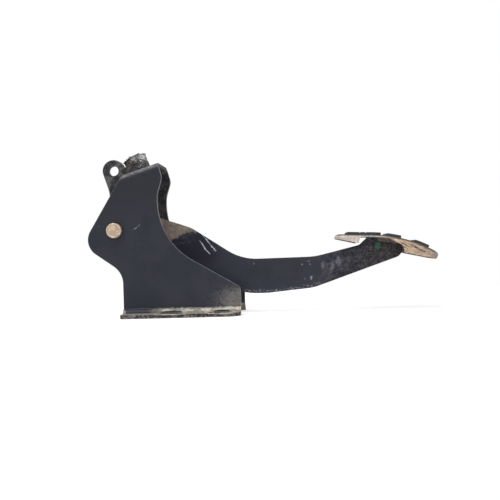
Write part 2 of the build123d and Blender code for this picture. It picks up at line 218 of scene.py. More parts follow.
class PedalStage(PropertyGroup):
    """Floor, lights and camera."""

    floor: tint("Floor", "Pale floor", (0.82, 0.82, 0.82))
    reach: length("Floor size", "Half width of the floor", 3.0)
    key: FloatProperty(
        name="Key light", description="Soft light from above", default=9.0, min=0, unit="POWER"
    )
    fill: FloatProperty(
        name="Fill light", description="Soft light from the front", default=4.0, min=0, unit="POWER"
    )
    sky: share("Sky", "Even light from all round", 0.55)
    lens: FloatProperty(name="Lens", description="Focal length", default=60.75, min=1, unit="CAMERA")
    shift: FloatProperty(name="Shift", description="Sideways shift of the picture", default=-0.1)
    eye: FloatVectorProperty(
        name="Camera place", description="Where the camera stands", default=(0.0836, -0.7, 0.0505),
        size=3, subtype="TRANSLATION", unit="LENGTH",
    )
    roll: FloatProperty(
        name="Camera roll", description="Turn of the camera about its view", default=radians(1.4),
        subtype="ANGLE", unit="ROTATION",
    )


# Shader building


def add(tree, kind, options=None, inputs=None):
    """A shader node with its options set, and each input set or linked where it is a socket."""
    made = tree.nodes.new("ShaderNode" + kind)
    for key, value in (options or {}).items():
        setattr(made, key, value)
    for key, value in (inputs or {}).items():
        if isinstance(value, NodeSocket):
            tree.links.new(value, made.inputs[key])
        else:
            made.inputs[key].default_value = value
    return made


def maths(tree, operation, first, second=0.0, clamp=False):
    """The result of a Math node."""
    options = {"operation": operation, "use_clamp": clamp}
    return add(tree, "Math", options, {0: first, 1: second}).outputs[0]


def vectors(tree, operation, first, second=(0, 0, 0), output="Vector"):
    """The result of a Vector Math node."""
    return add(tree, "VectorMath", {"operation": operation}, {0: first, 1: second}).outputs[output]


def fade(tree, value, start, end, low=0.0, high=1.0):
    """A smooth step from low at start to high at end."""
    inputs = {"Value": value, "From Min": start, "From Max": end, "To Min": low, "To Max": high}
    return add(tree, "MapRange", {"interpolation_type": "SMOOTHSTEP"}, inputs).outputs["Result"]


def mix(tree, factor, first, second):
    """Two colours mixed."""
    first, second = (c if isinstance(c, NodeSocket) else (*c[:3], 1.0) for c in (first, second))
    return add(tree, "Mix", {"data_type": "RGBA"}, {0: factor, 6: first, 7: second}).outputs[2]


def blend(tree, factor, first, second):
    """Two values mixed."""
    return add(tree, "Mix", {"data_type": "FLOAT"}, {0: factor, 2: first, 3: second}).outputs[0]


def cloud(tree, place, scale, detail=3.0, rough=0.55, warp=0.0):
    """Noise over a place in millimetres; scale is in waves a millimetre."""
    inputs = {"Vector": place, "Scale": scale, "Detail": detail, "Roughness": rough, "Distortion": warp}
    return add(tree, "TexNoise", None, inputs).outputs["Fac"]


def product(tree, *values):
    """Several values multiplied."""
    result = values[0]
    for value in values[1:]:
        result = maths(tree, "MULTIPLY", result, value)
    return result


def either(tree, *values):
    """The greatest of several values."""
    result = values[0]
    for value in values[1:]:
        result = maths(tree, "MAXIMUM", result, value)
    return result


def shake(tree, value, noise, amount):
    """A value moved up and down by a noise from 0 to 1, over a range of an amount."""
    return maths(tree, "ADD", value, product(tree, maths(tree, "SUBTRACT", noise, 0.5), amount))


def seen_plainly(tree):
    """1 for rays from the camera and for mirrored and refracted ones, 0 for those that light."""
    rays = add(tree, "LightPath").outputs
    return either(tree, rays["Is Camera Ray"], rays["Is Glossy Ray"], rays["Is Transmission Ray"])


def white_glow(tree, strength):
    """A white emission shader."""
    inputs = {"Color": (1, 1, 1, 1), "Strength": strength}
    return add(tree, "Emission", None, inputs).outputs[0]


def group(name, inputs, outputs):
    """A new node group and its ends; inputs give (name, kind, default), outputs (name, kind)."""
    tree = bpy.data.node_groups.new(name, "ShaderNodeTree")
    for label, kind, default in inputs:
        socket = tree.interface.new_socket(name=label, in_out="INPUT", socket_type="NodeSocket" + kind)
        socket.default_value = default
    for label, kind in outputs:
        tree.interface.new_socket(name=label, in_out="OUTPUT", socket_type="NodeSocket" + kind)
    return tree, tree.nodes.new("NodeGroupInput").outputs, tree.nodes.new("NodeGroupOutput").inputs


def use(tree, name, **inputs):
    """The outputs of a node group placed in a tree; underscores in input names stand for spaces."""
    made = tree.nodes.new("ShaderNodeGroup")
    made.node_tree = bpy.data.node_groups[name]
    for key, value in inputs.items():
        socket = made.inputs[key.replace("_", " ")]
        if isinstance(value, NodeSocket):
            tree.links.new(value, socket)
        else:
            socket.default_value = value
    return made.outputs


def make_place_group():
    """Object coordinates in millimetres, whole and split, and the distance from the middle plane."""
    tree, _, out = group(
        "place_mm", (), (("Place", "Vector"), ("X", "Float"), ("Off Middle", "Float"), ("Z", "Float"))
    )
    spot = add(tree, "TexCoord").outputs["Object"]
    place = vectors(tree, "MULTIPLY", spot, (1 / MM, 1 / MM, 1 / MM))
    split = add(tree, "SeparateXYZ", None, {0: place}).outputs
    tree.links.new(place, out["Place"])
    tree.links.new(split["X"], out["X"])
    tree.links.new(maths(tree, "ABSOLUTE", split["Y"]), out["Off Middle"])
    tree.links.new(split["Z"], out["Z"])


def make_edge_group():
    """Wear along sharp edges.

    The normal rounded over Width is compared with the true one: where they part, the surface
    is near an edge. Noise breaks the band up.
    """
    tree, given, out = group(
        "worn_edges",
        (("Place", "Vector", (0, 0, 0)), ("Width", "Float", 0.0005), ("Breakup", "Float", 0.5)),
        (("Edge", "Float"), ("Rounded", "Vector")),
    )
    rounded = add(tree, "Bevel", {"samples": 6}, {"Radius": given["Width"]}).outputs["Normal"]
    true = add(tree, "NewGeometry").outputs["Normal"]
    parting = maths(tree, "SUBTRACT", 1.0, vectors(tree, "DOT_PRODUCT", rounded, true, "Value"))
    broken = cloud(tree, given["Place"], 0.35, 5.0, 0.65)
    edge = maths(tree, "SUBTRACT", parting, product(tree, broken, given["Breakup"], 0.3))
    tree.links.new(fade(tree, edge, 0.0, 0.06), out["Edge"])
    tree.links.new(rounded, out["Rounded"])


def make_grime_group():
    """Patchy dirt: a broad cloud decides where it lies and a fine one gives it grain."""
    tree, given, out = group(
        "grime",
        (("Place", "Vector", (0, 0, 0)), ("Size", "Float", 12.0), ("Amount", "Float", 0.5)),
        (("Mask", "Float"), ("Grain", "Float")),
    )
    broad = cloud(tree, given["Place"], maths(tree, "DIVIDE", 1.0, given["Size"]), 4.0, 0.6, 0.4)
    fine = cloud(tree, given["Place"], 1.6, 3.0, 0.7)
    mixed = maths(tree, "ADD", product(tree, broad, 0.75), product(tree, fine, 0.25))
    edge = maths(tree, "SUBTRACT", 0.78, product(tree, given["Amount"], 0.5))
    tree.links.new(fade(tree, mixed, maths(tree, "SUBTRACT", edge, 0.1), edge), out["Mask"])
    tree.links.new(fine, out["Grain"])


def make_patch_group():
    """One worn patch: an ellipsoid round Centre with half sizes Reach and a ragged border."""
    tree, given, out = group(
        "patch",
        (
            ("Place", "Vector", (0, 0, 0)), ("Centre", "Vector", (0, 0, 0)),
            ("Reach", "Vector", (5, 5, 5)), ("Ragged", "Float", 0.6), ("Grain", "Float", 0.5),
        ),
        (("Mask", "Float"),),
    )
    off = vectors(tree, "DIVIDE", vectors(tree, "SUBTRACT", given["Place"], given["Centre"]), given["Reach"])
    span = vectors(tree, "LENGTH", off, output="Value")
    torn = maths(tree, "SUBTRACT", cloud(tree, given["Place"], given["Grain"], 5.0, 0.7), 0.5)
    torn = product(tree, torn, given["Ragged"], 2.0)
    tree.links.new(fade(tree, maths(tree, "ADD", span, torn), 1.1, 0.85), out["Mask"])


def make_score_group():
    """One deep scratch: the distance to the line from Start to End, thinned by noise."""
    tree, given, out = group(
        "score",
        (
            ("Place", "Vector", (0, 0, 0)), ("Start", "Vector", (0, 0, 0)),
            ("End", "Vector", (1, 0, 0)), ("Width", "Float", 0.6),
        ),
        (("Mask", "Float"),),
    )
    off = vectors(tree, "SUBTRACT", given["Place"], given["Start"])
    way = vectors(tree, "SUBTRACT", given["End"], given["Start"])
    along = maths(
        tree, "DIVIDE", vectors(tree, "DOT_PRODUCT", off, way, "Value"),
        vectors(tree, "DOT_PRODUCT", way, way, "Value"), clamp=True,
    )
    reach = add(tree, "VectorMath", {"operation": "SCALE"}, {0: way, "Scale": along}).outputs[0]
    span = vectors(tree, "LENGTH", vectors(tree, "SUBTRACT", off, reach), output="Value")
    torn = maths(tree, "SUBTRACT", cloud(tree, given["Place"], 0.9, 5.0, 0.8), 0.34)
    thin = product(tree, torn, given["Width"], 5.4)
    tree.links.new(fade(tree, maths(tree, "SUBTRACT", thin, span), 0.0, 0.18), out["Mask"])


def make_rust_group():
    """Rust: its colour runs from Dark through Rust to Film with a layered noise."""
    tree, given, out = group(
        "rust",
        (
            ("Place", "Vector", (0, 0, 0)), ("Size", "Float", 6.0), ("Amount", "Float", 0.5),
            ("Dark", "Color", (0, 0, 0, 1)), ("Rust", "Color", (0, 0, 0, 1)),
            ("Film", "Color", (0, 0, 0, 1)),
        ),
        (("Color", "Color"), ("Mask", "Float"), ("Height", "Float")),
    )
    broad = cloud(tree, given["Place"], maths(tree, "DIVIDE", 1.0, given["Size"]), 6.0, 0.65, 0.6)
    fine = cloud(tree, given["Place"], 1.1, 4.0, 0.7)
    colour = mix(tree, fade(tree, fine, 0.35, 0.6), given["Dark"], given["Rust"])
    colour = mix(tree, fade(tree, broad, 0.42, 0.62), colour, given["Film"])
    edge = maths(tree, "SUBTRACT", 0.75, product(tree, given["Amount"], 0.5))
    tree.links.new(colour, out["Color"])
    tree.links.new(fade(tree, broad, maths(tree, "SUBTRACT", edge, 0.08), edge), out["Mask"])
    tree.links.new(fine, out["Height"])


def make_shared_groups():
    """Every effect that more than one material uses."""
    for make in (
        make_place_group, make_edge_group, make_grime_group, make_patch_group, make_score_group,
        make_rust_group,
    ):
        make()


class Finish:
    """A material built up in layers, each with a mask, a colour, a roughness and a metal share."""

    def __init__(self, name, colour, roughness, metallic=0.0, **constants):
        self.material = bpy.data.materials.new(name)
        self.material.use_nodes = True
        self.tree = self.material.node_tree
        self.shader = self.tree.nodes["Principled BSDF"]
        for key, value in constants.items():
            self.shader.inputs[key.replace("_", " ")].default_value = value
        spots = use(self.tree, "place_mm")
        self.place, self.x, self.off, self.z = (spots[k] for k in ("Place", "X", "Off Middle", "Z"))
        self.colour, self.roughness, self.metallic = colour, roughness, metallic
        self.height = 0.0

    def layer(self, mask, colour, roughness, metallic=0.0):
        """Covers what lies below wherever the mask is 1."""
        self.colour = mix(self.tree, mask, self.colour, colour)
        self.roughness = blend(self.tree, mask, self.roughness, roughness)
        self.metallic = blend(self.tree, mask, self.metallic, metallic)

    def raise_by(self, value, amount):
        """Adds a value to the height, times an amount in millimetres."""
        self.height = maths(self.tree, "ADD", self.height, product(self.tree, value, amount))

    def vary(self, size, low, high):
        """Multiplies the colour by a slow noise between low and high."""
        tone = fade(self.tree, cloud(self.tree, self.place, 1 / size, 4.0, 0.6), 0.3, 0.7, low, high)
        grey = add(self.tree, "CombineColor", None, {0: tone, 1: tone, 2: tone}).outputs[0]
        first = self.colour if isinstance(self.colour, NodeSocket) else (*self.colour[:3], 1.0)
        options = {"data_type": "RGBA", "blend_type": "MULTIPLY"}
        self.colour = add(self.tree, "Mix", options, {0: 1.0, 6: first, 7: grey}).outputs[2]

    def specks(self, scale, detail, rough, low, high, warp=0.0, least=0.0, most=1.0):
        """Noise cut to a mask: least where it lies under low, most where it lies over high."""
        noise = cloud(self.tree, self.place, scale, detail, rough, warp)
        return fade(self.tree, noise, low, high, least, most)

    def grime(self, size, amount):
        """The mask and the grain of patchy dirt."""
        return use(self.tree, "grime", Place=self.place, Size=size, Amount=amount)

    def patch(self, centre, reach, ragged=0.6, grain=0.5):
        """The mask of a worn patch."""
        return use(
            self.tree, "patch", Place=self.place, Centre=centre, Reach=reach, Ragged=ragged, Grain=grain
        )["Mask"]

    def score(self, start, end, width):
        """The mask of a deep scratch."""
        return use(self.tree, "score", Place=self.place, Start=start, End=end, Width=width)["Mask"]

    def scratch(self, marks, colour, roughness, depth=0.0):
        """Lays scratches, given as start, end and width, and cuts them in by a depth."""
        for start, end, width in marks:
            self.layer(self.score(start, end, width), colour, roughness)
            if depth:
                self.raise_by(self.score(start, end, width), -depth)

    def within(self, value, low, high, soft):
        """1 where a value lies between two limits, with soft borders."""
        rise = fade(self.tree, value, low - soft, low + soft)
        return product(self.tree, rise, fade(self.tree, value, high + soft, high - soft))

    def worn(self, width, breakup, strength, colour, roughness, metallic=0.0):
        """Lays the wear along sharp edges as the last layer, and returns the material."""
        edges = use(self.tree, "worn_edges", Place=self.place, Width=width, Breakup=breakup)
        self.layer(product(self.tree, edges["Edge"], strength), colour, roughness, metallic)
        return self.done(edges["Rounded"])

    def done(self, rounded=None):
        """Connects the layers to the shader and returns the material."""
        for key, value in (
            ("Base Color", self.colour), ("Roughness", self.roughness), ("Metallic", self.metallic),
        ):
            socket = self.shader.inputs[key]
            if isinstance(value, NodeSocket):
                self.tree.links.new(value, socket)
            else:
                socket.default_value = (*value[:3], 1.0) if key == "Base Color" else value
        inputs = {"Height": self.height, "Distance": MM, "Strength": 1.0}
        if rounded is not None:
            inputs["Normal"] = rounded
        bump = add(self.tree, "Bump", None, inputs).outputs[0]
        self.tree.links.new(bump, self.shader.inputs["Normal"])
        return self.material


def add_paint_grain(finish, peel):
    """The slight orange peel of sprayed paint."""
    tree = finish.tree
    finish.raise_by(cloud(tree, finish.place, 0.45, 2.0, 0.5), peel)
    finish.raise_by(cloud(tree, finish.place, 3.0, 2.0, 0.6), peel * 0.3)


def rust_of(finish, size, amount):
    """The outputs of the rust group, with this pedal's rust colours."""
    metal = bpy.context.scene.pedal_metal
    return use(
        finish.tree, "rust", Place=finish.place, Size=size, Amount=amount,
        Dark=(*metal.dark_rust_and_shade, 1), Rust=(*metal.rust, 1), Film=(*metal.tan, 1),
    )


def normal_along(finish, axis):
    """The part of the surface's normal along an axis, from -1 to 1."""
    normal = add(finish.tree, "NewGeometry").outputs["Normal"]
    return add(finish.tree, "SeparateXYZ", None, {0: normal}).outputs[axis]


def facing(finish, axis):
    """How far a surface faces along an axis, from 0 to 1 either way."""
    return maths(finish.tree, "ABSOLUTE", normal_along(finish, axis))


def from_pin(finish):
    """The distance from the pivot pin's axis, in millimetres."""
    away = vectors(finish.tree, "SUBTRACT", finish.place, tuple(PIVOT / MM))
    flat = vectors(finish.tree, "MULTIPLY", away, (1.0, 0.0, 1.0))
    return vectors(finish.tree, "LENGTH", flat, output="Value")


# Start, end and width of each scratch on the near side plate
PLATE_SCRATCHES = (
    ((-48.7, -25.0, 70.4), (-46.6, -25.0, 71.8), 0.24),
    ((-45.6, -25.0, 72.6), (-43.9, -25.0, 74.0), 0.18),
    ((-52.4, -25.6, 4.4), (-51.4, -25.8, 4.6), 0.5),
    ((-50.3, -25.4, 4.8), (-48.2, -25.2, 6.2), 0.6),
    ((-77.0, -25.0, 73.4), (-76.8, -25.0, 73.3), 0.15),
)


def from_slot(finish):
    """The distance from the straight middle line of the nearest mounting slot.

    Along X that is what is left past half the straight part, and across it the plain distance.
    """
    tree = finish.tree
    ahead = maths(tree, "SUBTRACT", maths(tree, "ABSOLUTE", finish.x), SLOT_X)
    ahead = maths(tree, "SUBTRACT", maths(tree, "ABSOLUTE", ahead), SLOT_STRAIGHT)
    parts = {0: maths(tree, "MAXIMUM", ahead, 0.0), 1: maths(tree, "SUBTRACT", finish.off, SLOT_OFF)}
    offset = add(tree, "CombineXYZ", None, parts).outputs[0]
    return vectors(tree, "LENGTH", offset, output="Value")


def foul_inside(f, paint):
    """Soot, caked mud and pale crumbs on the faces between the side plates."""
    tree = f.tree
    inner = fade(tree, f.off, PLATE_IN + 0.3, PLATE_IN - 0.2)
    caked = f.grime(8.0, 0.42)
    f.layer(product(tree, inner, 0.5), paint.soot_and_shade, 0.8)
    f.layer(product(tree, inner, caked["Mask"], caked["Grain"], 1.2), paint.mud, 0.9)
    crumbs = f.specks(0.7, 5.0, 0.75, 0.55, 0.66)
    f.layer(product(tree, inner, crumbs, 0.6), paint.scuff, 0.9)
    f.raise_by(product(tree, inner, caked["Grain"]), 0.12)


def scuff_toes(f, paint):
    """Scuffs on the outside of the side plates, thickest low down at the front."""
    tree = f.tree
    toe = product(tree, fade(tree, f.x, 0.0, 37.0), fade(tree, f.z, 29.0, 13.0))
    toe = product(tree, toe, fade(tree, f.off, PLATE_OUT - 1.0, PLATE_OUT - 0.2))
    scuff = maths(tree, "ADD", cloud(tree, f.place, 0.2, 7.0, 0.78, 0.3), product(tree, toe, 0.42))
    f.layer(product(tree, toe, fade(tree, scuff, 0.52, 0.86), 0.74), paint.scuff, 0.7)
    dull = f.specks(0.3, 7.0, 0.8, 0.47, 0.58, warp=0.5)
    f.layer(product(tree, toe, dull, 0.55), paint.bracket, 0.6)
    bright = f.specks(0.75, 5.0, 0.8, 0.5, 0.66)
    f.layer(product(tree, toe, bright, 0.35), paint.bare, 0.6)


def rub_bends(f, paint):
    """The bends down to the flanges: rubbed olive and cream, nicked, and darker in the crook."""
    tree = f.tree
    lip = shake(tree, f.z, cloud(tree, f.place, 0.3, 6.0, 0.75), 6.0)
    outside = fade(tree, f.off, PLATE_OUT - 2.0, PLATE_OUT + 0.2)
    bend = product(tree, fade(tree, lip, 7.0, 5.8), outside, fade(tree, f.x, -40.0, -22.0))
    f.layer(bend, paint.olive, 0.6, 0.1)
    front = product(tree, fade(tree, f.x, 8.0, 24.0), fade(tree, f.z, 4.4, 5.2))
    rubbed = either(tree, f.grime(5.0, 0.42)["Mask"], front)
    f.layer(product(tree, bend, rubbed, 0.72), paint.cream, 0.5, 0.2)
    nicks = f.specks(0.55, 6.0, 0.8, 0.53, 0.6, warp=0.5)
    f.layer(product(tree, bend, nicks, 0.75), paint.soot_and_shade, 0.75)
    crook = product(tree, bend, fade(tree, f.z, 4.8, 3.6), f.specks(0.16, 3.0, 0.55, 0.42, 0.52))
    f.layer(product(tree, crook, 0.75), paint.olive, 0.8)


def no_higher(f):
    """1 up to the flanges' upper faces and 0 above them."""
    return fade(f.tree, f.z, FLANGE_TOP + 0.6, FLANGE_TOP + 0.2)


def flange_masks(f):
    """The masks of the flanges' flat faces and of their upright rims."""
    tree = f.tree
    flange = product(tree, fade(tree, f.off, PLATE_OUT + 3.0, PLATE_OUT + 5.0), no_higher(f))
    upright = fade(tree, facing(f, "Z"), 0.7, 0.4)
    return product(tree, flange, maths(tree, "SUBTRACT", 1.0, upright)), product(tree, flange, upright)


def wear_flanges(f, paint, flat, rim):
    """Olive rub and rust on the flanges, and rims black under chips, cream flecks and rust."""
    tree = f.tree
    f.layer(product(tree, flat, f.grime(9.0, 0.6)["Mask"], 0.85), paint.olive, 0.7)
    rust = rust_of(f, 5.0, 0.5)
    f.layer(product(tree, flat, rust["Mask"], 0.4), rust["Color"], 0.85)
    f.layer(rim, paint.soot_and_shade, 0.75)
    chips = f.specks(0.55, 6.0, 0.8, 0.5, 0.6)
    f.layer(product(tree, rim, chips, 0.85), paint.scuff, 0.8)
    flecks = f.specks(0.9, 5.0, 0.75, 0.56, 0.64, warp=0.6)
    f.layer(product(tree, rim, flecks), paint.cream, 0.7)
    orange = f.specks(0.35, 4.0, 0.7, 0.6, 0.68, warp=1.2)
    f.layer(product(tree, rim, orange, 0.15), rust["Color"], 0.85)


def mark_slots(f, paint, flat):
    """The rub that a washer leaves round each slot, and painted shade in the slots, round and beside them,
    where the openings lie in shadow.
    """
    tree = f.tree
    gap = from_slot(f)
    upper = fade(tree, f.z, 2.0, 2.8)
    rub = product(tree, f.within(gap, 7.2, 9.4, 0.5), no_higher(f), upper)
    rub = product(tree, rub, f.specks(0.5, 4.0, 0.7, 0.4, 0.55))
    f.layer(product(tree, rub, 0.85), paint.cream, 0.45, 0.5)
    # Painted shade on the slots' walls and round the slots.
    wall = product(tree, fade(tree, gap, SLOT_RADIUS - 0.1, SLOT_RADIUS - 0.35), fade(tree, f.z, 3.4, 3.1))
    f.layer(product(tree, wall, fade(tree, facing(f, "Z"), 0.6, 0.3)), paint.soot_and_shade, 0.9)
    ring = product(tree, flat, fade(tree, gap, 6.9, 6.0), upper)
    f.layer(product(tree, ring, 0.9), paint.soot_and_shade, 0.9)
    # Painted shade beside each slot, as dark ovals.
    for middle, wide in ((-SLOT_X, 9.5), (SLOT_X, 7.0)):
        beside = f.patch((middle, -PLATE_OUT - 3.0, FLANGE_TOP + 0.4), (wide, 4.0, 1.2), 0.35, 0.6)
        f.layer(product(tree, beside, 0.9), paint.soot_and_shade, 0.9)


def wear_plate_edges(f, paint):
    """Painted shadow round the pin's hole, a painted highlight along the web's bends, and grey cut edges,
    partly worn and partly a painted highlight.
    """
    tree = f.tree
    sideways = facing(f, "Y")
    # Painted shadow round the pin's hole.
    hole = f.within(from_pin(f), PIN_RADIUS - 0.2, PIN_RADIUS + 0.8, 0.2)
    f.layer(product(tree, hole, sideways, 0.9), paint.soot_and_shade, 0.9)
    # Painted highlight along the web's bends, where they catch the light from above.
    shoulder_highlight = product(tree, fade(tree, facing(f, "Z"), 0.2, 0.7), fade(tree, f.z, 84.0, 90.0))
    shoulder_highlight = product(tree, shoulder_highlight, fade(tree, f.off, PLATE_IN - 5.0, PLATE_IN - 2.0))
    rubbed = f.specks(0.3, 6.0, 0.75, 0.35, 0.6, least=0.25, most=1.0)
    f.layer(product(tree, shoulder_highlight, rubbed, 0.34), paint.chips_and_highlight, 0.5)
    # Grey cut edges: partly worn metal and partly a painted highlight.
    cut = product(tree, fade(tree, sideways, 0.5, 0.25), fade(tree, f.off, PLATE_IN - 0.4, PLATE_IN + 0.3))
    grey = f.specks(0.35, 6.0, 0.75, 0.38, 0.6, least=0.2, most=0.8)
    f.layer(product(tree, cut, fade(tree, f.z, 7.0, 9.0), grey), paint.rubbed, 0.6)


def bracket_paint():
    """Satin black paint, rubbed through along the foot bends, scuffed at the toes, dirty inside."""
    paint = bpy.context.scene.pedal_paint
    f = Finish("bracket_paint", paint.bracket, paint.gloss, Specular_IOR_Level=0.25)
    f.vary(60.0, 0.88, 1.14)
    # Painted shade: the paint darkens towards the top of the bracket.
    f.layer(fade(f.tree, f.z, 62.0, 108.0, 0.0, 0.8), paint.deep, 0.5)
    add_paint_grain(f, 0.006)
    film = f.grime(34.0, 0.5)
    f.layer(product(f.tree, film["Mask"], film["Grain"], 0.05), paint.dust, 0.6)
    foul_inside(f, paint)
    scuff_toes(f, paint)
    rub_bends(f, paint)
    flat, rim = flange_masks(f)
    wear_flanges(f, paint, flat, rim)
    mark_slots(f, paint, flat)
    f.layer(f.patch((-58.3, -PLATE_OUT, 4.2), (2.0, 25.0, 1.7), 0.6, 0.6), paint.olive, 0.7)
    f.scratch(PLATE_SCRATCHES, paint.chips_and_highlight, 0.5)
    wear_plate_edges(f, paint)
    return f.worn(paint.edge, 0.5, 0.85, paint.chips_and_highlight, 0.45)


# Start, end and width of each scratch on the lever: six near the pivot, two on the far face
LEVER_SCRATCHES = (
    ((0.7, -3.0, 60.4), (2.8, -3.0, 58.0), 0.3),
    ((2.8, -3.0, 58.0), (5.4, -3.0, 53.2), 0.62),
    ((5.4, -3.0, 53.2), (9.2, -3.0, 49.0), 0.5),
    ((2.7, -3.0, 65.4), (6.2, -3.0, 61.5), 0.26),
    ((6.2, -3.0, 61.5), (10.2, -3.0, 56.0), 0.5),
    ((10.2, -3.0, 56.0), (13.9, -3.0, 51.8), 0.6),
    ((58.0, 3.0, 40.0), (68.0, 3.0, 34.5), 0.5),
    ((30.0, 3.0, 48.0), (35.0, 3.0, 41.5), 0.45),
)

# Centre, half width, half height and strength of each chipped spot on the lever's near face
LEVER_CHIPS = (
    ((45.3, -3.0, 40.2), 0.5, 0.8, 0.25), ((85.0, -3.0, 38.6), 0.7, 0.8, 0.3),
    ((91.6, -3.0, 38.4), 0.6, 0.8, 0.25), ((90.4, -3.0, 41.2), 1.4, 0.5, 0.2),
    ((92.3, -3.0, 27.4), 1.0, 1.5, 0.4), ((102.0, -3.0, 37.0), 1.2, 2.8, 0.16),
    ((115.2, -3.0, 40.4), 2.6, 2.8, 0.2), ((110.0, -3.0, 37.0), 1.5, 3.6, 0.16),
    ((41.0, -3.0, 18.0), 1.1, 0.5, 0.5), ((50.0, -3.0, 17.6), 0.9, 0.4, 0.4),
    ((63.3, -3.0, 17.8), 0.8, 0.5, 0.4), ((76.4, -3.0, 18.9), 1.0, 0.4, 0.35),
    ((86.9, -3.0, 26.6), 0.6, 0.8, 0.2), ((96.5, -3.0, 45.6), 2.2, 0.8, 0.2),
)

# Points along the lower edge of the lever's near face, where small chips lie close together
LOWER_EDGE = ((37.0, -3.0, 17.7), (58.0, -3.0, 17.1), (76.0, -3.0, 18.4), (99.0, -3.0, 22.8))

# The middle of the dab, and how fast its four-cornered outline closes along X, Y and Z
DAB_MIDDLE = (148.1, -3.0, 52.3)
DAB_SLOPES = (0.36, 0.4, 0.25)


def foul_arm(f, paint, pale, gaps, grit):
    """Patchy dirt from the middle of the arm to the pad, browner towards the pad."""
    tree = f.tree
    tail = product(tree, fade(tree, f.x, 92.0, 112.0), fade(tree, f.x, 176.0, 166.0))
    f.layer(product(tree, tail, pale, 0.22), paint.scuff, 0.85)
    brown = f.grime(5.0, 0.5)["Mask"]
    f.layer(product(tree, fade(tree, f.x, 118.0, 150.0), brown, 0.5), paint.mud, 0.85)
    f.layer(product(tree, tail, gaps, 0.8), paint.deep, 0.8)
    f.layer(product(tree, tail, grit, 0.3), paint.bare, 0.7)
    f.raise_by(product(tree, tail, grit), 0.1)


def foul_crank(f, paint, pale, grit):
    """Black and gritty dirt on the upper crank."""
    tree = f.tree
    upper = fade(tree, f.z, 92.0, 104.0)
    f.layer(product(tree, upper, 0.6), paint.soot_and_shade, 0.6)
    f.layer(product(tree, upper, pale, 0.35), paint.scuff, 0.8)
    f.layer(product(tree, upper, grit, 0.25), paint.bare, 0.8)


def rub_by_pivot(f, paint, torn, gaps, grit):
    """The tan patch by the pivot, above a ragged sloping border, and painted shade below it, where the
    bracket shades the lever.
    """
    tree = f.tree
    border = maths(tree, "SUBTRACT", f.z, product(tree, f.x, 0.34))
    border = shake(tree, border, torn, 16.0)
    hub = product(tree, fade(tree, border, 68.5, 71.0), fade(tree, f.x, 3.0, -6.0))
    hub = product(tree, hub, fade(tree, f.z, 96.0, 88.0))
    f.layer(product(tree, hub, 0.95), paint.tan, 0.75)
    f.layer(product(tree, hub, f.grime(4.5, 0.45)["Mask"], 0.75), paint.mud, 0.85)
    f.layer(product(tree, hub, gaps, 0.45), paint.scuff, 0.85)
    nicks = f.specks(0.5, 6.0, 0.8, 0.56, 0.63, warp=0.6)
    f.layer(product(tree, hub, nicks, 0.6), paint.soot_and_shade, 0.85)
    # Painted shade below the patch, where the bracket shades the lever.
    shade = product(tree, fade(tree, border, 69.0, 66.0), fade(tree, f.x, 30.0, 4.0))
    f.layer(product(tree, shade, fade(tree, f.z, 34.0, 48.0), 0.85), paint.deep, 0.75)
    under = product(tree, f.within(border, 61.0, 68.0, 2.0), fade(tree, f.x, 4.0, -8.0), grit)
    f.layer(product(tree, under, 0.4), paint.scuff, 0.85)


def chip_lever(f, paint):
    """Scratches, single chips, and small chips close together along the lower edge."""
    tree = f.tree
    f.scratch(LEVER_SCRATCHES, paint.chips_and_highlight, 0.5)
    for centre, wide, high, strength in LEVER_CHIPS:
        spot = f.patch(centre, (wide, 2.0, high), 1.9, 1.1)
        f.layer(product(tree, spot, strength), paint.chips_and_highlight, 0.65)
    peppered = f.specks(0.62, 5.0, 0.8, 0.53, 0.6, warp=0.8)
    for start, end in zip(LOWER_EDGE, LOWER_EDGE[1:]):
        f.layer(product(tree, f.score(start, end, 1.5), peppered, 0.5), paint.chips_and_highlight, 0.65)


def add_dab(f, paint, torn):
    """The dab of marking paint: the sum of the sloped distances along X, Y and Z, made ragged."""
    tree = f.tree
    sloped = vectors(tree, "MULTIPLY", vectors(tree, "SUBTRACT", f.place, DAB_MIDDLE), DAB_SLOPES)
    parts = add(tree, "SeparateXYZ", None, {0: vectors(tree, "ABSOLUTE", sloped)}).outputs
    away = maths(tree, "ADD", maths(tree, "ADD", parts["X"], parts["Z"]), parts["Y"])
    away = shake(tree, away, torn, 1.6)
    f.layer(product(tree, fade(tree, away, 1.05, 0.85), 0.8), paint.dab, 0.5)


def lever_paint():
    """Black paint under patchy brown dirt, with a bare patch by the pivot, scratches and chips."""
    paint = bpy.context.scene.pedal_paint
    f = Finish("lever_paint", paint.lever, paint.gloss, Specular_IOR_Level=0.25)
    tree = f.tree
    f.vary(30.0, 0.8, 1.25)
    add_paint_grain(f, 0.012)
    film = f.grime(22.0, 0.5)
    f.layer(product(tree, film["Mask"], film["Grain"], 0.03), paint.dust, 0.7)
    pale = f.grime(7.5, 0.42)["Mask"]
    gaps = f.specks(0.4, 6.0, 0.8, 0.44, 0.54, warp=0.4)
    grit = f.specks(0.8, 5.0, 0.8, 0.56, 0.66)
    torn = cloud(tree, f.place, 0.24, 7.0, 0.78)
    foul_arm(f, paint, pale, gaps, grit)
    foul_crank(f, paint, pale, grit)
    rub_by_pivot(f, paint, torn, gaps, grit)
    chip_lever(f, paint)
    add_dab(f, paint, torn)
    cut = product(tree, fade(tree, facing(f, "Y"), 0.5, 0.25), f.specks(0.3, 5.0, 0.55, 0.4, 0.6))
    f.layer(product(tree, cut, 0.6), paint.scuff, 0.7)
    return f.worn(paint.edge, 0.9, 0.7, paint.bare, 0.45, 0.5)


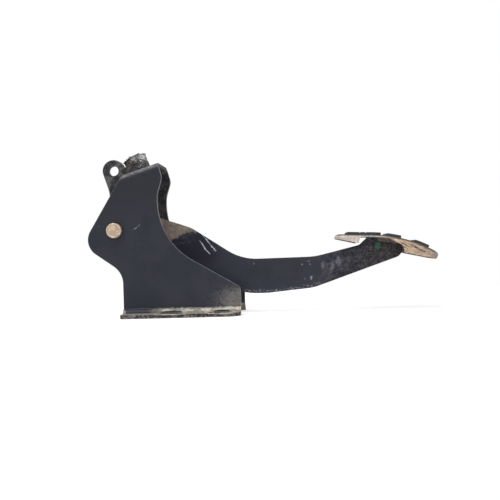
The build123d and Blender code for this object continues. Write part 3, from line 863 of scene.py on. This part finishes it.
def below_pad(finish):
    """The depth below the pad's upper face: from its straight start, and further on from its arc."""
    tree = finish.tree
    start, along, normal, centre = (part / MM for part in pad_frame())
    away = vectors(tree, "SUBTRACT", finish.place, tuple(start))
    flat = vectors(tree, "DOT_PRODUCT", away, tuple(-normal * MM), "Value")
    spoke = vectors(tree, "SUBTRACT", finish.place, tuple(centre))
    spoke = vectors(tree, "MULTIPLY", spoke, (1.0, 0.0, 1.0))
    arc = maths(tree, "SUBTRACT", PAD_BEND / MM, vectors(tree, "LENGTH", spoke, output="Value"))
    turn = (start + along * PAD_FLAT)[0]
    return blend(tree, fade(tree, finish.x, turn - 0.5, turn + 0.5), flat, arc)


# Start, end and width of each deep score on the pad's near front skirt
PAD_SCORES = (
    ((165.7, -22.0, 54.1), (171.2, -22.0, 50.9), 0.35),
    ((176.0, -22.0, 50.4), (183.9, -22.0, 46.6), 0.5),
    ((171.0, -22.0, 53.2), (178.4, -22.0, 50.3), 0.4),
    ((166.5, -22.0, 51.4), (170.0, -22.0, 49.6), 0.3),
)


def streak_front(f, metal, along, streak):
    """Cream, tan and pink brown streaks along the pad's front half, with rust between them."""
    tree = f.tree
    front = fade(tree, f.x, 146.0, 160.0)
    f.layer(product(tree, front, fade(tree, streak, 0.36, 0.5)), metal.cream, 0.6, 0.2)
    f.layer(product(tree, front, fade(tree, streak, 0.5, 0.6)), metal.tan, 0.7, 0.1)
    stain = cloud(tree, along, 1.7, 5.0, 0.7, 0.8)
    stain = maths(tree, "ADD", stain, fade(tree, f.x, 168.0, 190.0, 0.0, 0.1))
    f.layer(product(tree, front, fade(tree, stain, 0.5, 0.62), 0.75), metal.blush, 0.75)
    rust = rust_of(f, 5.0, 0.5)
    f.layer(product(tree, front, rust["Mask"], 0.45), rust["Color"], 0.8)
    f.raise_by(product(tree, front, streak), 0.1)


def darken_pad(f, metal, streak):
    """A black top, a dark rusty underside, a painted shadow line on the pad's sides below the top plate from
    136 to 158 mm, and a ragged dark band under the top further on.
    """
    tree = f.tree
    upward = normal_along(f, "Z")
    kept = f.grime(10.0, 1.1)["Mask"]
    top = product(tree, fade(tree, upward, 0.45, 0.75), either(tree, kept, 0.35))
    f.layer(top, metal.bolt, 0.5)
    inside = product(tree, fade(tree, f.off, PAD_SIDE - 1.0, PAD_SIDE - 1.6), fade(tree, upward, 0.45, 0.2))
    inside = product(tree, inside, f.within(f.x, 126.0, 182.0, 1.0))
    below = either(tree, fade(tree, upward, -0.3, -0.7), inside)
    f.layer(product(tree, below, 0.75), metal.dark_rust_and_shade, 0.85)
    skirt = product(tree, fade(tree, f.off, PAD_SIDE - 3.0, PAD_SIDE - 1.0), facing(f, "Y"))
    depth = shake(tree, below_pad(f), streak, 3.0)
    # Painted shadow: a dark line below the top plate, from 136 to 158 mm along.
    lower = product(tree, f.within(f.x, 136.0, 158.0, 3.0), fade(tree, depth, 1.1, 1.7))
    upper = product(tree, fade(tree, f.x, 154.0, 162.0), fade(tree, depth, 1.9, 1.1))
    f.layer(product(tree, skirt, either(tree, lower, upper), 0.85), metal.dark_rust_and_shade, 0.8)


def pad_steel():
    """Pressed steel: bare and streaked along its skirts, black on the top, dark rust underneath."""
    paint, metal = bpy.context.scene.pedal_paint, bpy.context.scene.pedal_metal
    f = Finish("pad_steel", metal.pad, 0.5, 0.3)
    tree = f.tree
    f.vary(3.0, 0.86, 1.1)
    f.raise_by(cloud(tree, f.place, 1.4, 4.0, 0.7), 0.03)
    along = add(tree, "Mapping", None, {
        "Vector": f.place, "Rotation": (0, radians(-22), 0), "Scale": (0.07, 0.3, 0.5),
    }).outputs[0]
    streak = cloud(tree, along, 1.0, 5.0, 0.62, 0.4)
    streak_front(f, metal, along, streak)
    pits = rust_of(f, 2.0, 0.46)
    f.layer(product(tree, pits["Mask"], 0.4), pits["Color"], 0.85)
    tip = fade(tree, maths(tree, "ADD", f.x, product(tree, streak, 4.0)), 190.0, 195.0)
    f.layer(product(tree, tip, 0.8), paint.olive, 0.75)
    darken_pad(f, metal, streak)
    f.scratch(PAD_SCORES, metal.dark_rust_and_shade, 0.85, depth=0.3)
    return f.worn(paint.edge, 0.5, 0.6, metal.pad, 0.4, 0.6)


def tread_rubber():
    """Matt rubber, dusty on top and scuffed along its edges."""
    paint, metal = bpy.context.scene.pedal_paint, bpy.context.scene.pedal_metal
    f = Finish("tread_rubber", metal.rubber, 0.72, Specular_IOR_Level=0.3)
    tree = f.tree
    f.raise_by(cloud(tree, f.place, 2.4, 4.0, 0.7), 0.05)
    dirt = f.grime(8.0, 0.6)
    f.layer(product(tree, dirt["Mask"], dirt["Grain"], 0.22), paint.rubbed, 0.9)
    return f.worn(0.0007, 0.9, 0.35, paint.scuff, 0.85)


def pin_plate():
    """Yellow zinc plate with turning rings on the end face, a painted highlight round the rim, and painted
    shade on the side by the plate.
    """
    paint, metal = bpy.context.scene.pedal_paint, bpy.context.scene.pedal_metal
    f = Finish("pin_plate", metal.plate, 0.42, 0.7)
    tree = f.tree
    f.vary(4.0, 0.8, 1.08)
    radius = from_pin(f)
    f.raise_by(maths(tree, "SINE", product(tree, radius, 14.0)), 0.004)
    # Painted highlight round the rim of the pin's end.
    rim = f.within(radius, PIN_RADIUS - 1.0, PIN_RADIUS - 0.4, 0.2)
    f.layer(product(tree, rim, 0.6), metal.rim_highlight, 0.3, 0.8)
    dirt = f.grime(4.0, 0.5)
    f.layer(product(tree, dirt["Mask"], 0.5), paint.mud, 0.8)
    # Painted shade on the pin's side, darkest by the plate.
    side = fade(tree, radius, PIN_RADIUS - 0.25, PIN_RADIUS - 0.05)
    side = product(tree, side, fade(tree, f.off, PLATE_OUT + 5.5, PLATE_OUT))
    f.layer(product(tree, side, 0.85), paint.soot_and_shade, 0.7)
    return f.done()


def plain_metal(name, colour, roughness, metallic, dirty, pitted):
    """Plated or bare metal with dirt in patches and small rust spots."""
    paint = bpy.context.scene.pedal_paint
    f = Finish(name, colour, roughness, metallic)
    tree = f.tree
    f.vary(6.0, 0.78, 1.12)
    f.raise_by(cloud(tree, f.place, 1.8, 4.0, 0.7), 0.02)
    rust = rust_of(f, 3.0, pitted)
    f.layer(product(tree, rust["Mask"], 0.8), rust["Color"], 0.85)
    dirt = f.grime(6.0, dirty)
    f.layer(product(tree, dirt["Mask"], 0.6), paint.mud, 0.85)
    return f.worn(paint.edge, 0.6, 0.5, colour, 0.35, metallic)


def bolt_steel():
    """Corroded dark steel with a pale crust that is thickest on the head, and paler towards the top and the
    right, partly as a painted highlight.
    """
    paint, metal = bpy.context.scene.pedal_paint, bpy.context.scene.pedal_metal
    f = Finish("bolt_steel", metal.bolt, 0.65, 0.2, Specular_IOR_Level=0.3)
    tree = f.tree
    f.vary(3.0, 0.5, 1.6)
    rust = rust_of(f, 3.0, 0.34)
    f.layer(product(tree, rust["Mask"], 0.1), rust["Color"], 0.85)
    about = add(tree, "Mapping", None, {
        "Vector": f.place, "Rotation": (0, LEAN, 0), "Scale": (0.35, 0.35, 1.1),
    }).outputs[0]
    crumbs = cloud(tree, about, 0.8, 7.0, 0.8, 0.6)
    # Crust grows towards the top and the right: partly a painted highlight.
    high = fade(tree, f.z, 124.0, 130.0, 0.0, 0.13)
    right = fade(tree, f.x, -54.0, -42.0, -0.03, 0.05)
    crust = fade(tree, maths(tree, "ADD", maths(tree, "ADD", crumbs, high), right), 0.57, 0.64)
    f.layer(product(tree, crust, 0.9), metal.crust, 0.85)
    f.raise_by(crust, 0.12)
    f.raise_by(crumbs, 0.4)
    return f.done()


def weld_bead():
    """Painted weld with patchy dirt, and rust where the paint has cracked."""
    paint = bpy.context.scene.pedal_paint
    f = Finish("weld_bead", paint.lever, 0.5, 0.1)
    tree = f.tree
    f.vary(4.0, 0.7, 1.6)
    f.raise_by(cloud(tree, f.place, 1.5, 4.0, 0.7), 0.06)
    rust = rust_of(f, 3.5, 0.45)
    f.layer(product(tree, rust["Mask"], 0.45), rust["Color"], 0.85)
    dirt = f.grime(6.0, 0.6)
    f.layer(product(tree, dirt["Mask"], 0.6), paint.mud, 0.85)
    return f.done()


def dress(material, *names):
    """Gives CAD nodes a material."""
    for name in names:
        piece = nodes[name]
        if not piece.material_slots:
            piece.data.materials.append(material)
        for slot in piece.material_slots:
            slot.material = material


# Surfaces


def around(steps):
    """Evenly spaced angles of one full turn."""
    return np.linspace(0, 2 * pi, steps, endpoint=False)


def surface(name, points, wrap_rows=False, wrap_columns=True, sharp=35.0):
    """A mesh from a grid of points: each cell is one face, poles and seams are merged."""
    rows, columns = points.shape[:2]
    index = np.arange(rows * columns).reshape(rows, columns)
    if wrap_columns:
        index = np.concatenate((index, index[:, :1]), axis=1)
    if wrap_rows:
        index = np.concatenate((index, index[:1]), axis=0)
    faces = np.stack((index[:-1, :-1], index[:-1, 1:], index[1:, 1:], index[1:, :-1]), axis=-1)
    mesh = bpy.data.meshes.new(name)
    mesh.from_pydata(points.reshape(-1, 3), [], faces.reshape(-1, 4))
    body = bmesh.new()
    body.from_mesh(mesh)
    bmesh.ops.remove_doubles(body, verts=body.verts, dist=2e-6)
    bmesh.ops.dissolve_degenerate(body, edges=body.edges, dist=1e-6)
    bmesh.ops.recalc_face_normals(body, faces=body.faces)
    for face in body.faces:
        face.smooth = True
    for edge in body.edges:
        edge.smooth = len(edge.link_faces) == 2 and edge.calc_face_angle() < radians(sharp)
    body.to_mesh(mesh)
    body.free()
    return mesh


def place_piece(mesh, material, body, slot_name, *replaced):
    """Puts a mesh in the scene on a body, in place of CAD nodes."""
    piece = bpy.data.objects.new(mesh.name, mesh)
    bpy.context.scene.collection.objects.link(piece)
    mesh.materials.append(material)
    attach(piece, body)
    if replaced:
        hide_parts(*replaced)
    return piece


def lumps(points, size, seed, waves=28):
    """Smooth noise: the sum of sine waves in random directions, about size long.

    A hyperbolic tangent of the sum, over the root of the number of waves, brings it to 0 to 1.
    """
    draw = np.random.RandomState(seed)
    ways = draw.normal(size=(waves, 3))
    ways /= np.linalg.norm(ways, axis=1)[:, None]
    ways *= (2 * pi / size * draw.uniform(0.6, 2.2, waves))[:, None]
    total = np.sin(points @ ways.T + draw.uniform(0, 2 * pi, waves)).sum(axis=-1)
    return 0.5 + 0.5 * np.tanh(total / np.sqrt(waves) * 1.2)


def eat_away(mesh, depth, size, seed, share_at):
    """Moves each point inwards along its normal, by a depth times noise times the share there."""
    count = len(mesh.vertices)
    points, normals = np.empty(count * 3), np.empty(count * 3)
    mesh.vertices.foreach_get("co", points)
    mesh.vertices.foreach_get("normal", normals)
    points, normals = points.reshape(-1, 3), normals.reshape(-1, 3)
    drop = depth * (0.65 * lumps(points, size, seed) + 0.35 * lumps(points, size * 0.35, seed + 1))
    drop *= share_at(points)
    mesh.vertices.foreach_set("co", (points - normals * drop[:, None]).ravel())
    mesh.update()


def hold_below(mesh, level):
    """Presses every point that stands above a level down to it."""
    points = np.empty(len(mesh.vertices) * 3)
    mesh.vertices.foreach_get("co", points)
    points[2::3] = np.minimum(points[2::3], level)
    mesh.vertices.foreach_set("co", points)
    mesh.update()


def hex_radius(angle, flats, worn=44.0):
    """Radius of a hexagon with rounded corners: half its width over a high power mean of cosines."""
    cosines = np.maximum(np.cos(angle[:, None] - np.arange(6) * pi / 3), 0.0)
    return flats / 2 / (cosines**worn).sum(axis=1) ** (1 / worn)


def bolt_points(angle, radius, height, foot, lean):
    """Points about the bolt's axis, which stands square on the sloping web.

    A point is the foot, plus its radius times cosine along the web and sine across it, plus its
    height along the axis.
    """
    along, rise = web_axes(lean)
    reach = radius[..., None] * (np.cos(angle)[:, None] * along + np.sin(angle)[:, None] * ACROSS)
    return np.array(foot) + reach + height[..., None] * rise


def thread_radius(angle, height, radius, pitch):
    """A screw thread: a triangle wave of height over pitch less the turn, its tips cut flat."""
    wave = np.abs(2 * ((height[:, None] / pitch - angle / (2 * pi)) % 1.0) - 1)
    flank = np.clip((wave - 0.12) / 0.72, 0.0, 1.0)
    return radius - 0.6 * pitch * (1 - flank)


def hexagon_rows(stations, angle, flats):
    """Rows of a hexagonal body, from (radius, height) stations.

    At each angle a row lies at the hexagon's radius or the station's, whichever is less, so a
    small station gives a circle and a large one gives the flats.
    """
    limit = np.array([radius for radius, _ in stations])[:, None]
    height = np.array([level for _, level in stations])[:, None] * np.ones(len(angle))
    return np.minimum(hex_radius(angle, flats), limit), height


def chamfer_stations(top, flats, direction, steps=7):
    """Radii and heights down a 30 degree corner cut, from the flats' width to the corners.

    The radius grows by the drop over the tangent of 30 degrees, as far as the corner's radius.
    """
    slope = np.tan(radians(30))
    drop = np.linspace(0.0, (2 / np.sqrt(3) - 1) * flats / 2 * slope, steps)
    return [(flats / 2 + d / slope, top + direction * d) for d in drop]


# A radius past the corners of bolt head and nuts, and how many points go round them
BEYOND_CORNERS = 0.012
BOLT_STEPS = 96


def stop_bolt_mesh(hardware):
    """Hexagon bolt, in rows from the middle of its tip to the middle of its head.

    Shank: the thread's radius, but no more than that of the tip's cone, which grows with the
    height above the tip. Head: hexagon rows, cut to a 30 degree cone above, whose top sinks
    towards the middle by a dish times one less the square of the radius over half the flats.
    At the rear the top is lower by 0.36 of the distance behind the axis past a millimetre.
    """
    h = hardware
    angle = around(BOLT_STEPS)
    level_row = np.ones(BOLT_STEPS)
    seat, radius, top = h.lock, h.thread / 2, h.lock + h.head
    tip = seat - h.bolt
    heights = np.arange(tip, seat - h.pitch, h.pitch / 10)
    cone = radius - h.tip + (heights - tip)
    shank = np.minimum(thread_radius(angle, heights, radius, h.pitch), cone[:, None])
    levels = heights[:, None] * level_row
    middle = np.zeros((1, BOLT_STEPS))
    neck = np.full((2, BOLT_STEPS), radius)
    neck_levels = np.array((heights[-1] + h.pitch / 2, seat))[:, None] * level_row

    fillet, chamfer, dish = 0.4 * MM, 0.9 * MM, 0.25 * MM
    stations = [(far, seat) for far in np.linspace(radius + fillet, BEYOND_CORNERS, 6)]
    stations += [(BEYOND_CORNERS, level) for level in np.linspace(seat, top - chamfer, 10)[1:]]
    stations += chamfer_stations(top, h.flats, -1)[::-1]
    for far in np.linspace(h.flats / 2, 0, 12)[1:]:
        stations.append((far, top - dish * (1 - (far * 2 / h.flats) ** 2)))
    head, head_levels = hexagon_rows(stations, angle, h.flats)
    rear = np.clip(-head * np.cos(angle) - MM, 0.0, None)
    head_levels = np.minimum(head_levels, top - 0.36 * rear)

    radii = np.concatenate((middle, shank, neck, head))
    rows = np.concatenate((levels[:1], levels, neck_levels, head_levels))
    mesh = surface("adjuster_bolt", bolt_points(angle, radii, rows, h.foot, h.lean))
    rise = web_axes(h.lean)[1]

    def head_only(points):
        """0 on the thread and 1 on the head."""
        return np.clip(((points - np.array(h.foot)) @ rise - seat) / MM, 0, 1)

    eat_away(mesh, h.pitting * 1.6, size=2.2 * MM, seed=3, share_at=head_only)
    eat_away(mesh, h.pitting * 2, size=6 * MM, seed=8, share_at=head_only)
    hold_below(mesh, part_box("stop_bolt")[1][2] - 0.1 * MM)
    return mesh


def nut_mesh(name, hardware, base, height, seed):
    """Hexagon nut, as one closed loop of rows: base, outside, top, and back down the bore.

    Outside, the rows follow a hexagon cut to 30 degree cones at both ends. A countersink, as
    wide as it is deep, opens each end of the bore, which clears the thread.
    """
    h = hardware
    angle = around(BOLT_STEPS)
    countersink = 0.6 * MM
    bore, top = h.thread / 2 + 0.06 * MM, base + height
    sunk = bore + countersink
    stations = [(sunk, base)]
    stations += [(far, base) for far in np.linspace(sunk, h.flats / 2, 6)[1:-1]]
    stations += chamfer_stations(base, h.flats, 1)
    stations += [(BEYOND_CORNERS, level) for level in np.linspace(base + MM, top - MM, 12)]
    stations += chamfer_stations(top, h.flats, -1)[::-1]
    stations += [(far, top) for far in np.linspace(h.flats / 2, sunk, 6)[1:]]
    stations += [(bore, top - countersink)]
    stations += [(bore, level) for level in np.linspace(top, base, 8)[1:-1]]
    stations += [(bore, base + countersink)]
    radii, levels = hexagon_rows(stations, angle, h.flats)
    mesh = surface(name, bolt_points(angle, radii, levels, h.foot, h.lean), wrap_rows=True)
    middle, rise = np.array(h.foot), web_axes(h.lean)[1]

    def outside(points):
        """0 in the bore and 1 on the flats."""
        off = points - middle
        off = off - (off @ rise)[:, None] * rise
        return np.clip((np.linalg.norm(off, axis=1) - bore - MM) / MM, 0, 1)

    eat_away(mesh, h.pitting, size=2.5 * MM, seed=seed, share_at=outside)
    return mesh


def bead_section(leg, steps=9):
    """A bead's section: its corner, then a bulging arc from one leg's end to the other's.

    Out along the face is the leg times the turn's squared cosine, moved a quarter of the bulge
    towards the plain cosine, and up the wall is the same with the sine. The bulge grows from a
    half at the legs to 1 between them.
    """
    turn = np.linspace(0, pi / 2, steps)
    bulge = 0.5 + 0.5 * (np.sin(turn) + np.cos(turn) - 1) / (np.sqrt(2) - 1)
    out = leg * (np.cos(turn) ** 2 * (1 - bulge * 0.25) + np.cos(turn) * bulge * 0.25)
    up = leg * (np.sin(turn) ** 2 * (1 - bulge * 0.25) + np.sin(turn) * bulge * 0.25)
    return np.concatenate(([0.0], out)), np.concatenate(([0.0], up))


def ripple(travel, pitch, depth, across):
    """Stacked crescents, as a scale for the section at each travel along the bead.

    The scale is 1 less a depth times what a half sine wave, to the power 0.6, leaves up to 1.
    The wave's phase is the travel over the pitch, held back by a sine across the bead.
    """
    phase = (travel[:, None] / pitch - 0.32 * np.sin(across * pi)) % 1.0
    return 1 - depth * (1 - np.sin(phase * pi) ** 0.6)


def hub_bead_mesh(name, welds, side):
    """A rippled bead that runs round the tube, on one face of the lever.

    A point lies at the tube's radius plus the section's out from the pivot, and at the lever's
    face plus its up from the middle plane, both times the ripple's scale. The pitch is the one
    nearest to the wanted one that divides the ring evenly.
    """
    w = welds
    out, up = bead_section(w.hub_leg)
    turn = around(300)
    across = np.linspace(0, 1, len(out))
    ring_radius = TUBE_RADIUS + w.hub_leg / 2
    ring = 2 * pi * ring_radius
    pitch = ring / round(ring / w.ripple)
    scale = ripple(turn * ring_radius, pitch, w.depth, across)
    far = TUBE_RADIUS + out * scale
    rise = side * (LEVER_HALF + up * scale)
    points = np.stack((np.cos(turn)[:, None] * far, rise, np.sin(turn)[:, None] * far), axis=-1)
    return surface(name, PIVOT + points, wrap_rows=True)


def pad_curve(distance, below):
    """A point below the pad's curved upper face, and the direction down from it.

    The angle grows evenly with the distance along the arc, from the pad's tilt where its
    straight start ends, and the point lies on a spoke from the arc's centre.
    """
    centre = pad_frame()[3]
    angle = PAD_TILT + (distance - PAD_FLAT) / PAD_BEND
    spoke = np.stack((np.sin(angle), 0 * angle, np.cos(angle)), axis=-1)
    return centre + spoke * (PAD_BEND - below), -spoke


def pad_bead_mesh(name, welds, side):
    """A rippled bead carried along the pad's arc, between the lever's face and the pad.

    The section's out is added to the lever's face and its up goes down the arc's spoke, both
    times the ripple's scale, which rises from nothing at each end as a square root.
    """
    w = welds
    out, up = bead_section(w.pad_leg)
    travel = np.linspace(*PAD_BEAD, 90)
    spot, down = pad_curve(travel, PAD_SHEET)
    across = np.linspace(0, 1, len(out))
    run, run_out = travel - travel[0], 1.6 * MM
    ends = np.clip(np.minimum(run, run[-1] - run) / run_out, 0, 1) ** 0.5
    scale = ripple(run, w.ripple, w.depth, across) * ends[:, None]
    sideways = side * (LEVER_HALF + out * scale)
    points = spot[:, None] + sideways[..., None] * ACROSS + (up * scale)[..., None] * down[:, None]
    return surface(name, points)


def split_pin_mesh(hardware):
    """Half-round wire: a spread leg, a straight shank, the eye, and the same down the other side.

    Six times over, each point of the line becomes half itself and a quarter of each neighbour.
    Each section is a half circle: at an angle, its width is the sine and its bulge the cosine,
    times half the wire's diameter less a clearance.
    """
    h = hardware
    half, sections = h.pin_wire / 2, 13
    eye_middle = (0.0, 11.6 * MM)
    shank_end, shank_start = np.array((-0.02, -8.2)) * MM, np.array((-0.02, 8.5)) * MM
    leg_end = shank_end + np.array((-4.3, -3.3)) * MM
    turn = np.linspace(radians(248), radians(-68), 60)
    loop = np.stack((np.cos(turn), np.sin(turn)), axis=-1) * h.pin_eye + eye_middle
    part = np.linspace(0, 1, 14)[:, None]
    leg = leg_end + (shank_end - leg_end) * part
    shank = shank_end + (shank_start - shank_end) * part
    left = np.concatenate((leg, shank[1:]))
    right = left[::-1] * (-1, 1)
    line = np.concatenate((left, loop, right))
    for _ in range(6):
        line[1:-1] = (line[:-2] + 2 * line[1:-1] + line[2:]) / 4
    way = np.gradient(line, axis=0)
    way /= np.linalg.norm(way, axis=1)[:, None]
    outward = np.stack((-way[:, 1], way[:, 0]), axis=-1)
    bow = np.linspace(-pi / 2, pi / 2, sections)
    bulge, width = np.cos(bow) * (half - 0.06 * MM), np.sin(bow) * (half - 0.04 * MM)
    flat = line[:, None] + outward[:, None] * bulge[:, None]
    points = np.stack((flat[..., 0], np.broadcast_to(width, flat.shape[:2]), flat[..., 1]), axis=-1)
    ends = points.mean(axis=1, keepdims=True)
    first, last = np.repeat(ends[:1], sections, 1), np.repeat(ends[-1:], sections, 1)
    points = np.concatenate((first, points, last))
    middle = middle_of("split_pin") * (1, 1, 0) + PIVOT * (0, 0, 1)
    return surface("cotter", middle + points, sharp=50)


# Operators


class PEDAL_OT_bracket(Operator):
    """Paint the pressed bracket"""

    bl_idname = "pedal.bracket"
    bl_label = "Paint bracket"

    def execute(self, context):
        dress(bracket_paint(), "bracket")
        return {"FINISHED"}


class PEDAL_OT_lever(Operator):
    """Paint the lever and its hub tube"""

    bl_idname = "pedal.lever"
    bl_label = "Paint lever"

    def execute(self, context):
        dress(lever_paint(), "lever_plate", "hub_tube")
        return {"FINISHED"}


class PEDAL_OT_pad(Operator):
    """Finish the pressed foot pad"""

    bl_idname = "pedal.pad"
    bl_label = "Finish foot pad"

    def execute(self, context):
        dress(pad_steel(), "foot_pad")
        return {"FINISHED"}


class PEDAL_OT_treads(Operator):
    """Finish the rubber tread bars"""

    bl_idname = "pedal.treads"
    bl_label = "Finish tread bars"

    def execute(self, context):
        dress(tread_rubber(), *(f"tread_bar_{number}" for number in range(1, 6)))
        return {"FINISHED"}


class PEDAL_OT_pivot(Operator):
    """Finish the pivot pin, its bushes and washers, and bend the split pin"""

    bl_idname = "pedal.pivot"
    bl_label = "Finish pivot"

    def execute(self, context):
        metal = context.scene.pedal_metal
        dress(pin_plate(), "pivot_pin")
        bronze = plain_metal(
            "bush_bronze", metal.bronze, roughness=0.42, metallic=0.85, dirty=0.7, pitted=0.0
        )
        dress(bronze, "bush_near", "bush_far")
        washers = plain_metal(
            "washer_steel", metal.washer, roughness=0.45, metallic=0.7, dirty=0.6, pitted=0.55
        )
        dress(washers, "thrust_washer_near", "thrust_washer_far", "pin_washer")
        pin = split_pin_mesh(context.scene.pedal_hardware)
        place_piece(pin, washers, "bracket", "washer_steel", "split_pin")
        return {"FINISHED"}


class PEDAL_OT_stop(Operator):
    """Cut the stop bolt's thread and corrode the bolt and its nuts"""

    bl_idname = "pedal.stop"
    bl_label = "Make stop bolt and nuts"

    def execute(self, context):
        hardware = context.scene.pedal_hardware
        steel = bolt_steel()
        place_piece(stop_bolt_mesh(hardware), steel, "bracket", "bolt_steel", "stop_bolt")
        lock = nut_mesh("jam_nut", hardware, 0.0, hardware.lock, seed=11)
        place_piece(lock, steel, "bracket", "bolt_steel", "lock_nut")
        foot = -hardware.sheet - hardware.nut
        under = nut_mesh("welded_nut", hardware, foot, hardware.nut, seed=23)
        place_piece(under, steel, "bracket", "bolt_steel", "weld_nut")
        return {"FINISHED"}


class PEDAL_OT_welds(Operator):
    """Lay the rippled weld beads at the hub and under the pad"""

    bl_idname = "pedal.welds"
    bl_label = "Lay weld beads"

    def execute(self, context):
        welds = context.scene.pedal_welds
        bead = weld_bead()
        for side, label in ((-1, "near"), (1, "far")):
            hub = hub_bead_mesh(f"hub_bead_{label}", welds, side)
            place_piece(hub, bead, "lever", "weld_bead", "hub_weld")
            pad = pad_bead_mesh(f"pad_bead_{label}", welds, side)
            place_piece(pad, bead, "lever", "weld_bead", "pad_weld")
        return {"FINISHED"}


def floor_material(stage):
    """Pale floor that keeps the object's shadow and runs out to plain white for the camera."""
    white_from, white_past, own_glow = 0.32, 0.6, 0.42
    material = bpy.data.materials.new("studio_floor")
    material.use_nodes = True
    tree = material.node_tree
    tree.nodes.remove(tree.nodes["Principled BSDF"])
    spot = add(tree, "TexCoord").outputs["Object"]
    span = vectors(tree, "LENGTH", spot, output="Value")
    far = fade(tree, span, white_from, white_past)
    looks = seen_plainly(tree)
    matt = add(tree, "BsdfDiffuse", None, {"Color": (*stage.floor, 1.0)}).outputs[0]
    lift = white_glow(tree, product(tree, looks, own_glow))
    near = add(tree, "AddShader", None, {0: matt, 1: lift}).outputs[0]
    lit = add(tree, "MixShader", None, {0: looks, 1: matt, 2: white_glow(tree, looks)}).outputs[0]
    both = add(tree, "MixShader", None, {0: far, 1: near, 2: lit}).outputs[0]
    tree.links.new(both, tree.nodes["Material Output"].inputs["Surface"])
    return material


def soft_light(name, place, aim, width, power):
    """A square area lamp that faces a point."""
    lamp = bpy.data.lights.new(name, "AREA")
    lamp.size, lamp.energy = width, power
    holder = bpy.data.objects.new(name, lamp)
    bpy.context.scene.collection.objects.link(holder)
    way = np.array(aim) - np.array(place)
    flat = np.hypot(way[0], way[1])
    holder.location = place
    holder.rotation_euler = (np.arctan2(flat, -way[2]), 0.0, np.arctan2(-way[0], way[1]))


class PEDAL_OT_stage(Operator):
    """Set the floor, the light and the camera"""

    bl_idname = "pedal.stage"
    bl_label = "Set the stage"

    def execute(self, context):
        stage, scene = context.scene.pedal_stage, context.scene
        span = np.linspace(-stage.reach, stage.reach, 9)
        x, y = np.meshgrid(span, span, indexing="ij")
        level = np.full_like(x, -0.3 * MM)
        ground = surface("studio_floor", np.stack((x, y, level), axis=-1), wrap_columns=False)
        ground.materials.append(floor_material(stage))
        floor = bpy.data.objects.new("studio_floor", ground)
        scene.collection.objects.link(floor)

        world = bpy.data.worlds.new("studio")
        world.use_nodes = True
        scene.world = world
        tree = world.node_tree
        sky = tree.nodes["Background"]
        sky.inputs["Color"].default_value = (1, 1, 1, 1)
        strength = blend(tree, seen_plainly(tree), stage.sky, 1.0)
        tree.links.new(strength, sky.inputs["Strength"])

        soft_light("key", (-0.35, -0.45, 0.95), aim=(0.03, 0.0, 0.06), width=0.9, power=stage.key)
        soft_light("fill", (0.45, -1.1, 0.35), aim=(0.05, 0.0, 0.06), width=0.8, power=stage.fill)

        lens = bpy.data.cameras.new("camera")
        lens.lens, lens.sensor_width = stage.lens, 36.0
        lens.shift_x = stage.shift
        camera = bpy.data.objects.new("camera", lens)
        camera.location = stage.eye
        camera.rotation_euler = (pi / 2, stage.roll, 0.0)
        scene.collection.objects.link(camera)
        scene.camera = camera
        scene.view_settings.view_transform = "Standard"
        return {"FINISHED"}


STEPS = (
    PEDAL_OT_bracket, PEDAL_OT_lever, PEDAL_OT_pad, PEDAL_OT_treads, PEDAL_OT_pivot,
    PEDAL_OT_stop, PEDAL_OT_welds, PEDAL_OT_stage,
)
GROUPS = (
    ("pedal_paint", PedalPaint), ("pedal_metal", PedalMetal), ("pedal_hardware", PedalHardware),
    ("pedal_welds", PedalWelds), ("pedal_stage", PedalStage),
)


class PEDAL_PT_panel(Panel):
    """The steps and settings of the pedal's finish"""

    bl_label = "Brake pedal finish"
    bl_idname = "PEDAL_PT_panel"
    bl_space_type = "VIEW_3D"
    bl_region_type = "UI"
    bl_category = "Pedal"

    def draw(self, context):
        for step in STEPS:
            self.layout.operator(step.bl_idname)
        for name, kind in GROUPS:
            box = self.layout.box()
            values = getattr(context.scene, name)
            for key in kind.__annotations__:
                box.prop(values, key)


def register():
    """Registers the classes and hangs their settings on the scene."""
    for name, kind in GROUPS:
        bpy.utils.register_class(kind)
        setattr(bpy.types.Scene, name, PointerProperty(type=kind))
    for kind in (*STEPS, PEDAL_PT_panel):
        bpy.utils.register_class(kind)


def unregister():
    """Takes everything off again."""
    for kind in (PEDAL_PT_panel, *reversed(STEPS)):
        bpy.utils.unregister_class(kind)
    for name, kind in reversed(GROUPS):
        delattr(bpy.types.Scene, name)
        bpy.utils.unregister_class(kind)


def main():
    register()
    make_shared_groups()
    for step in STEPS:
        area, action = step.bl_idname.split(".")
        getattr(getattr(bpy.ops, area), action)()


if __name__ == "__main__":
    main()
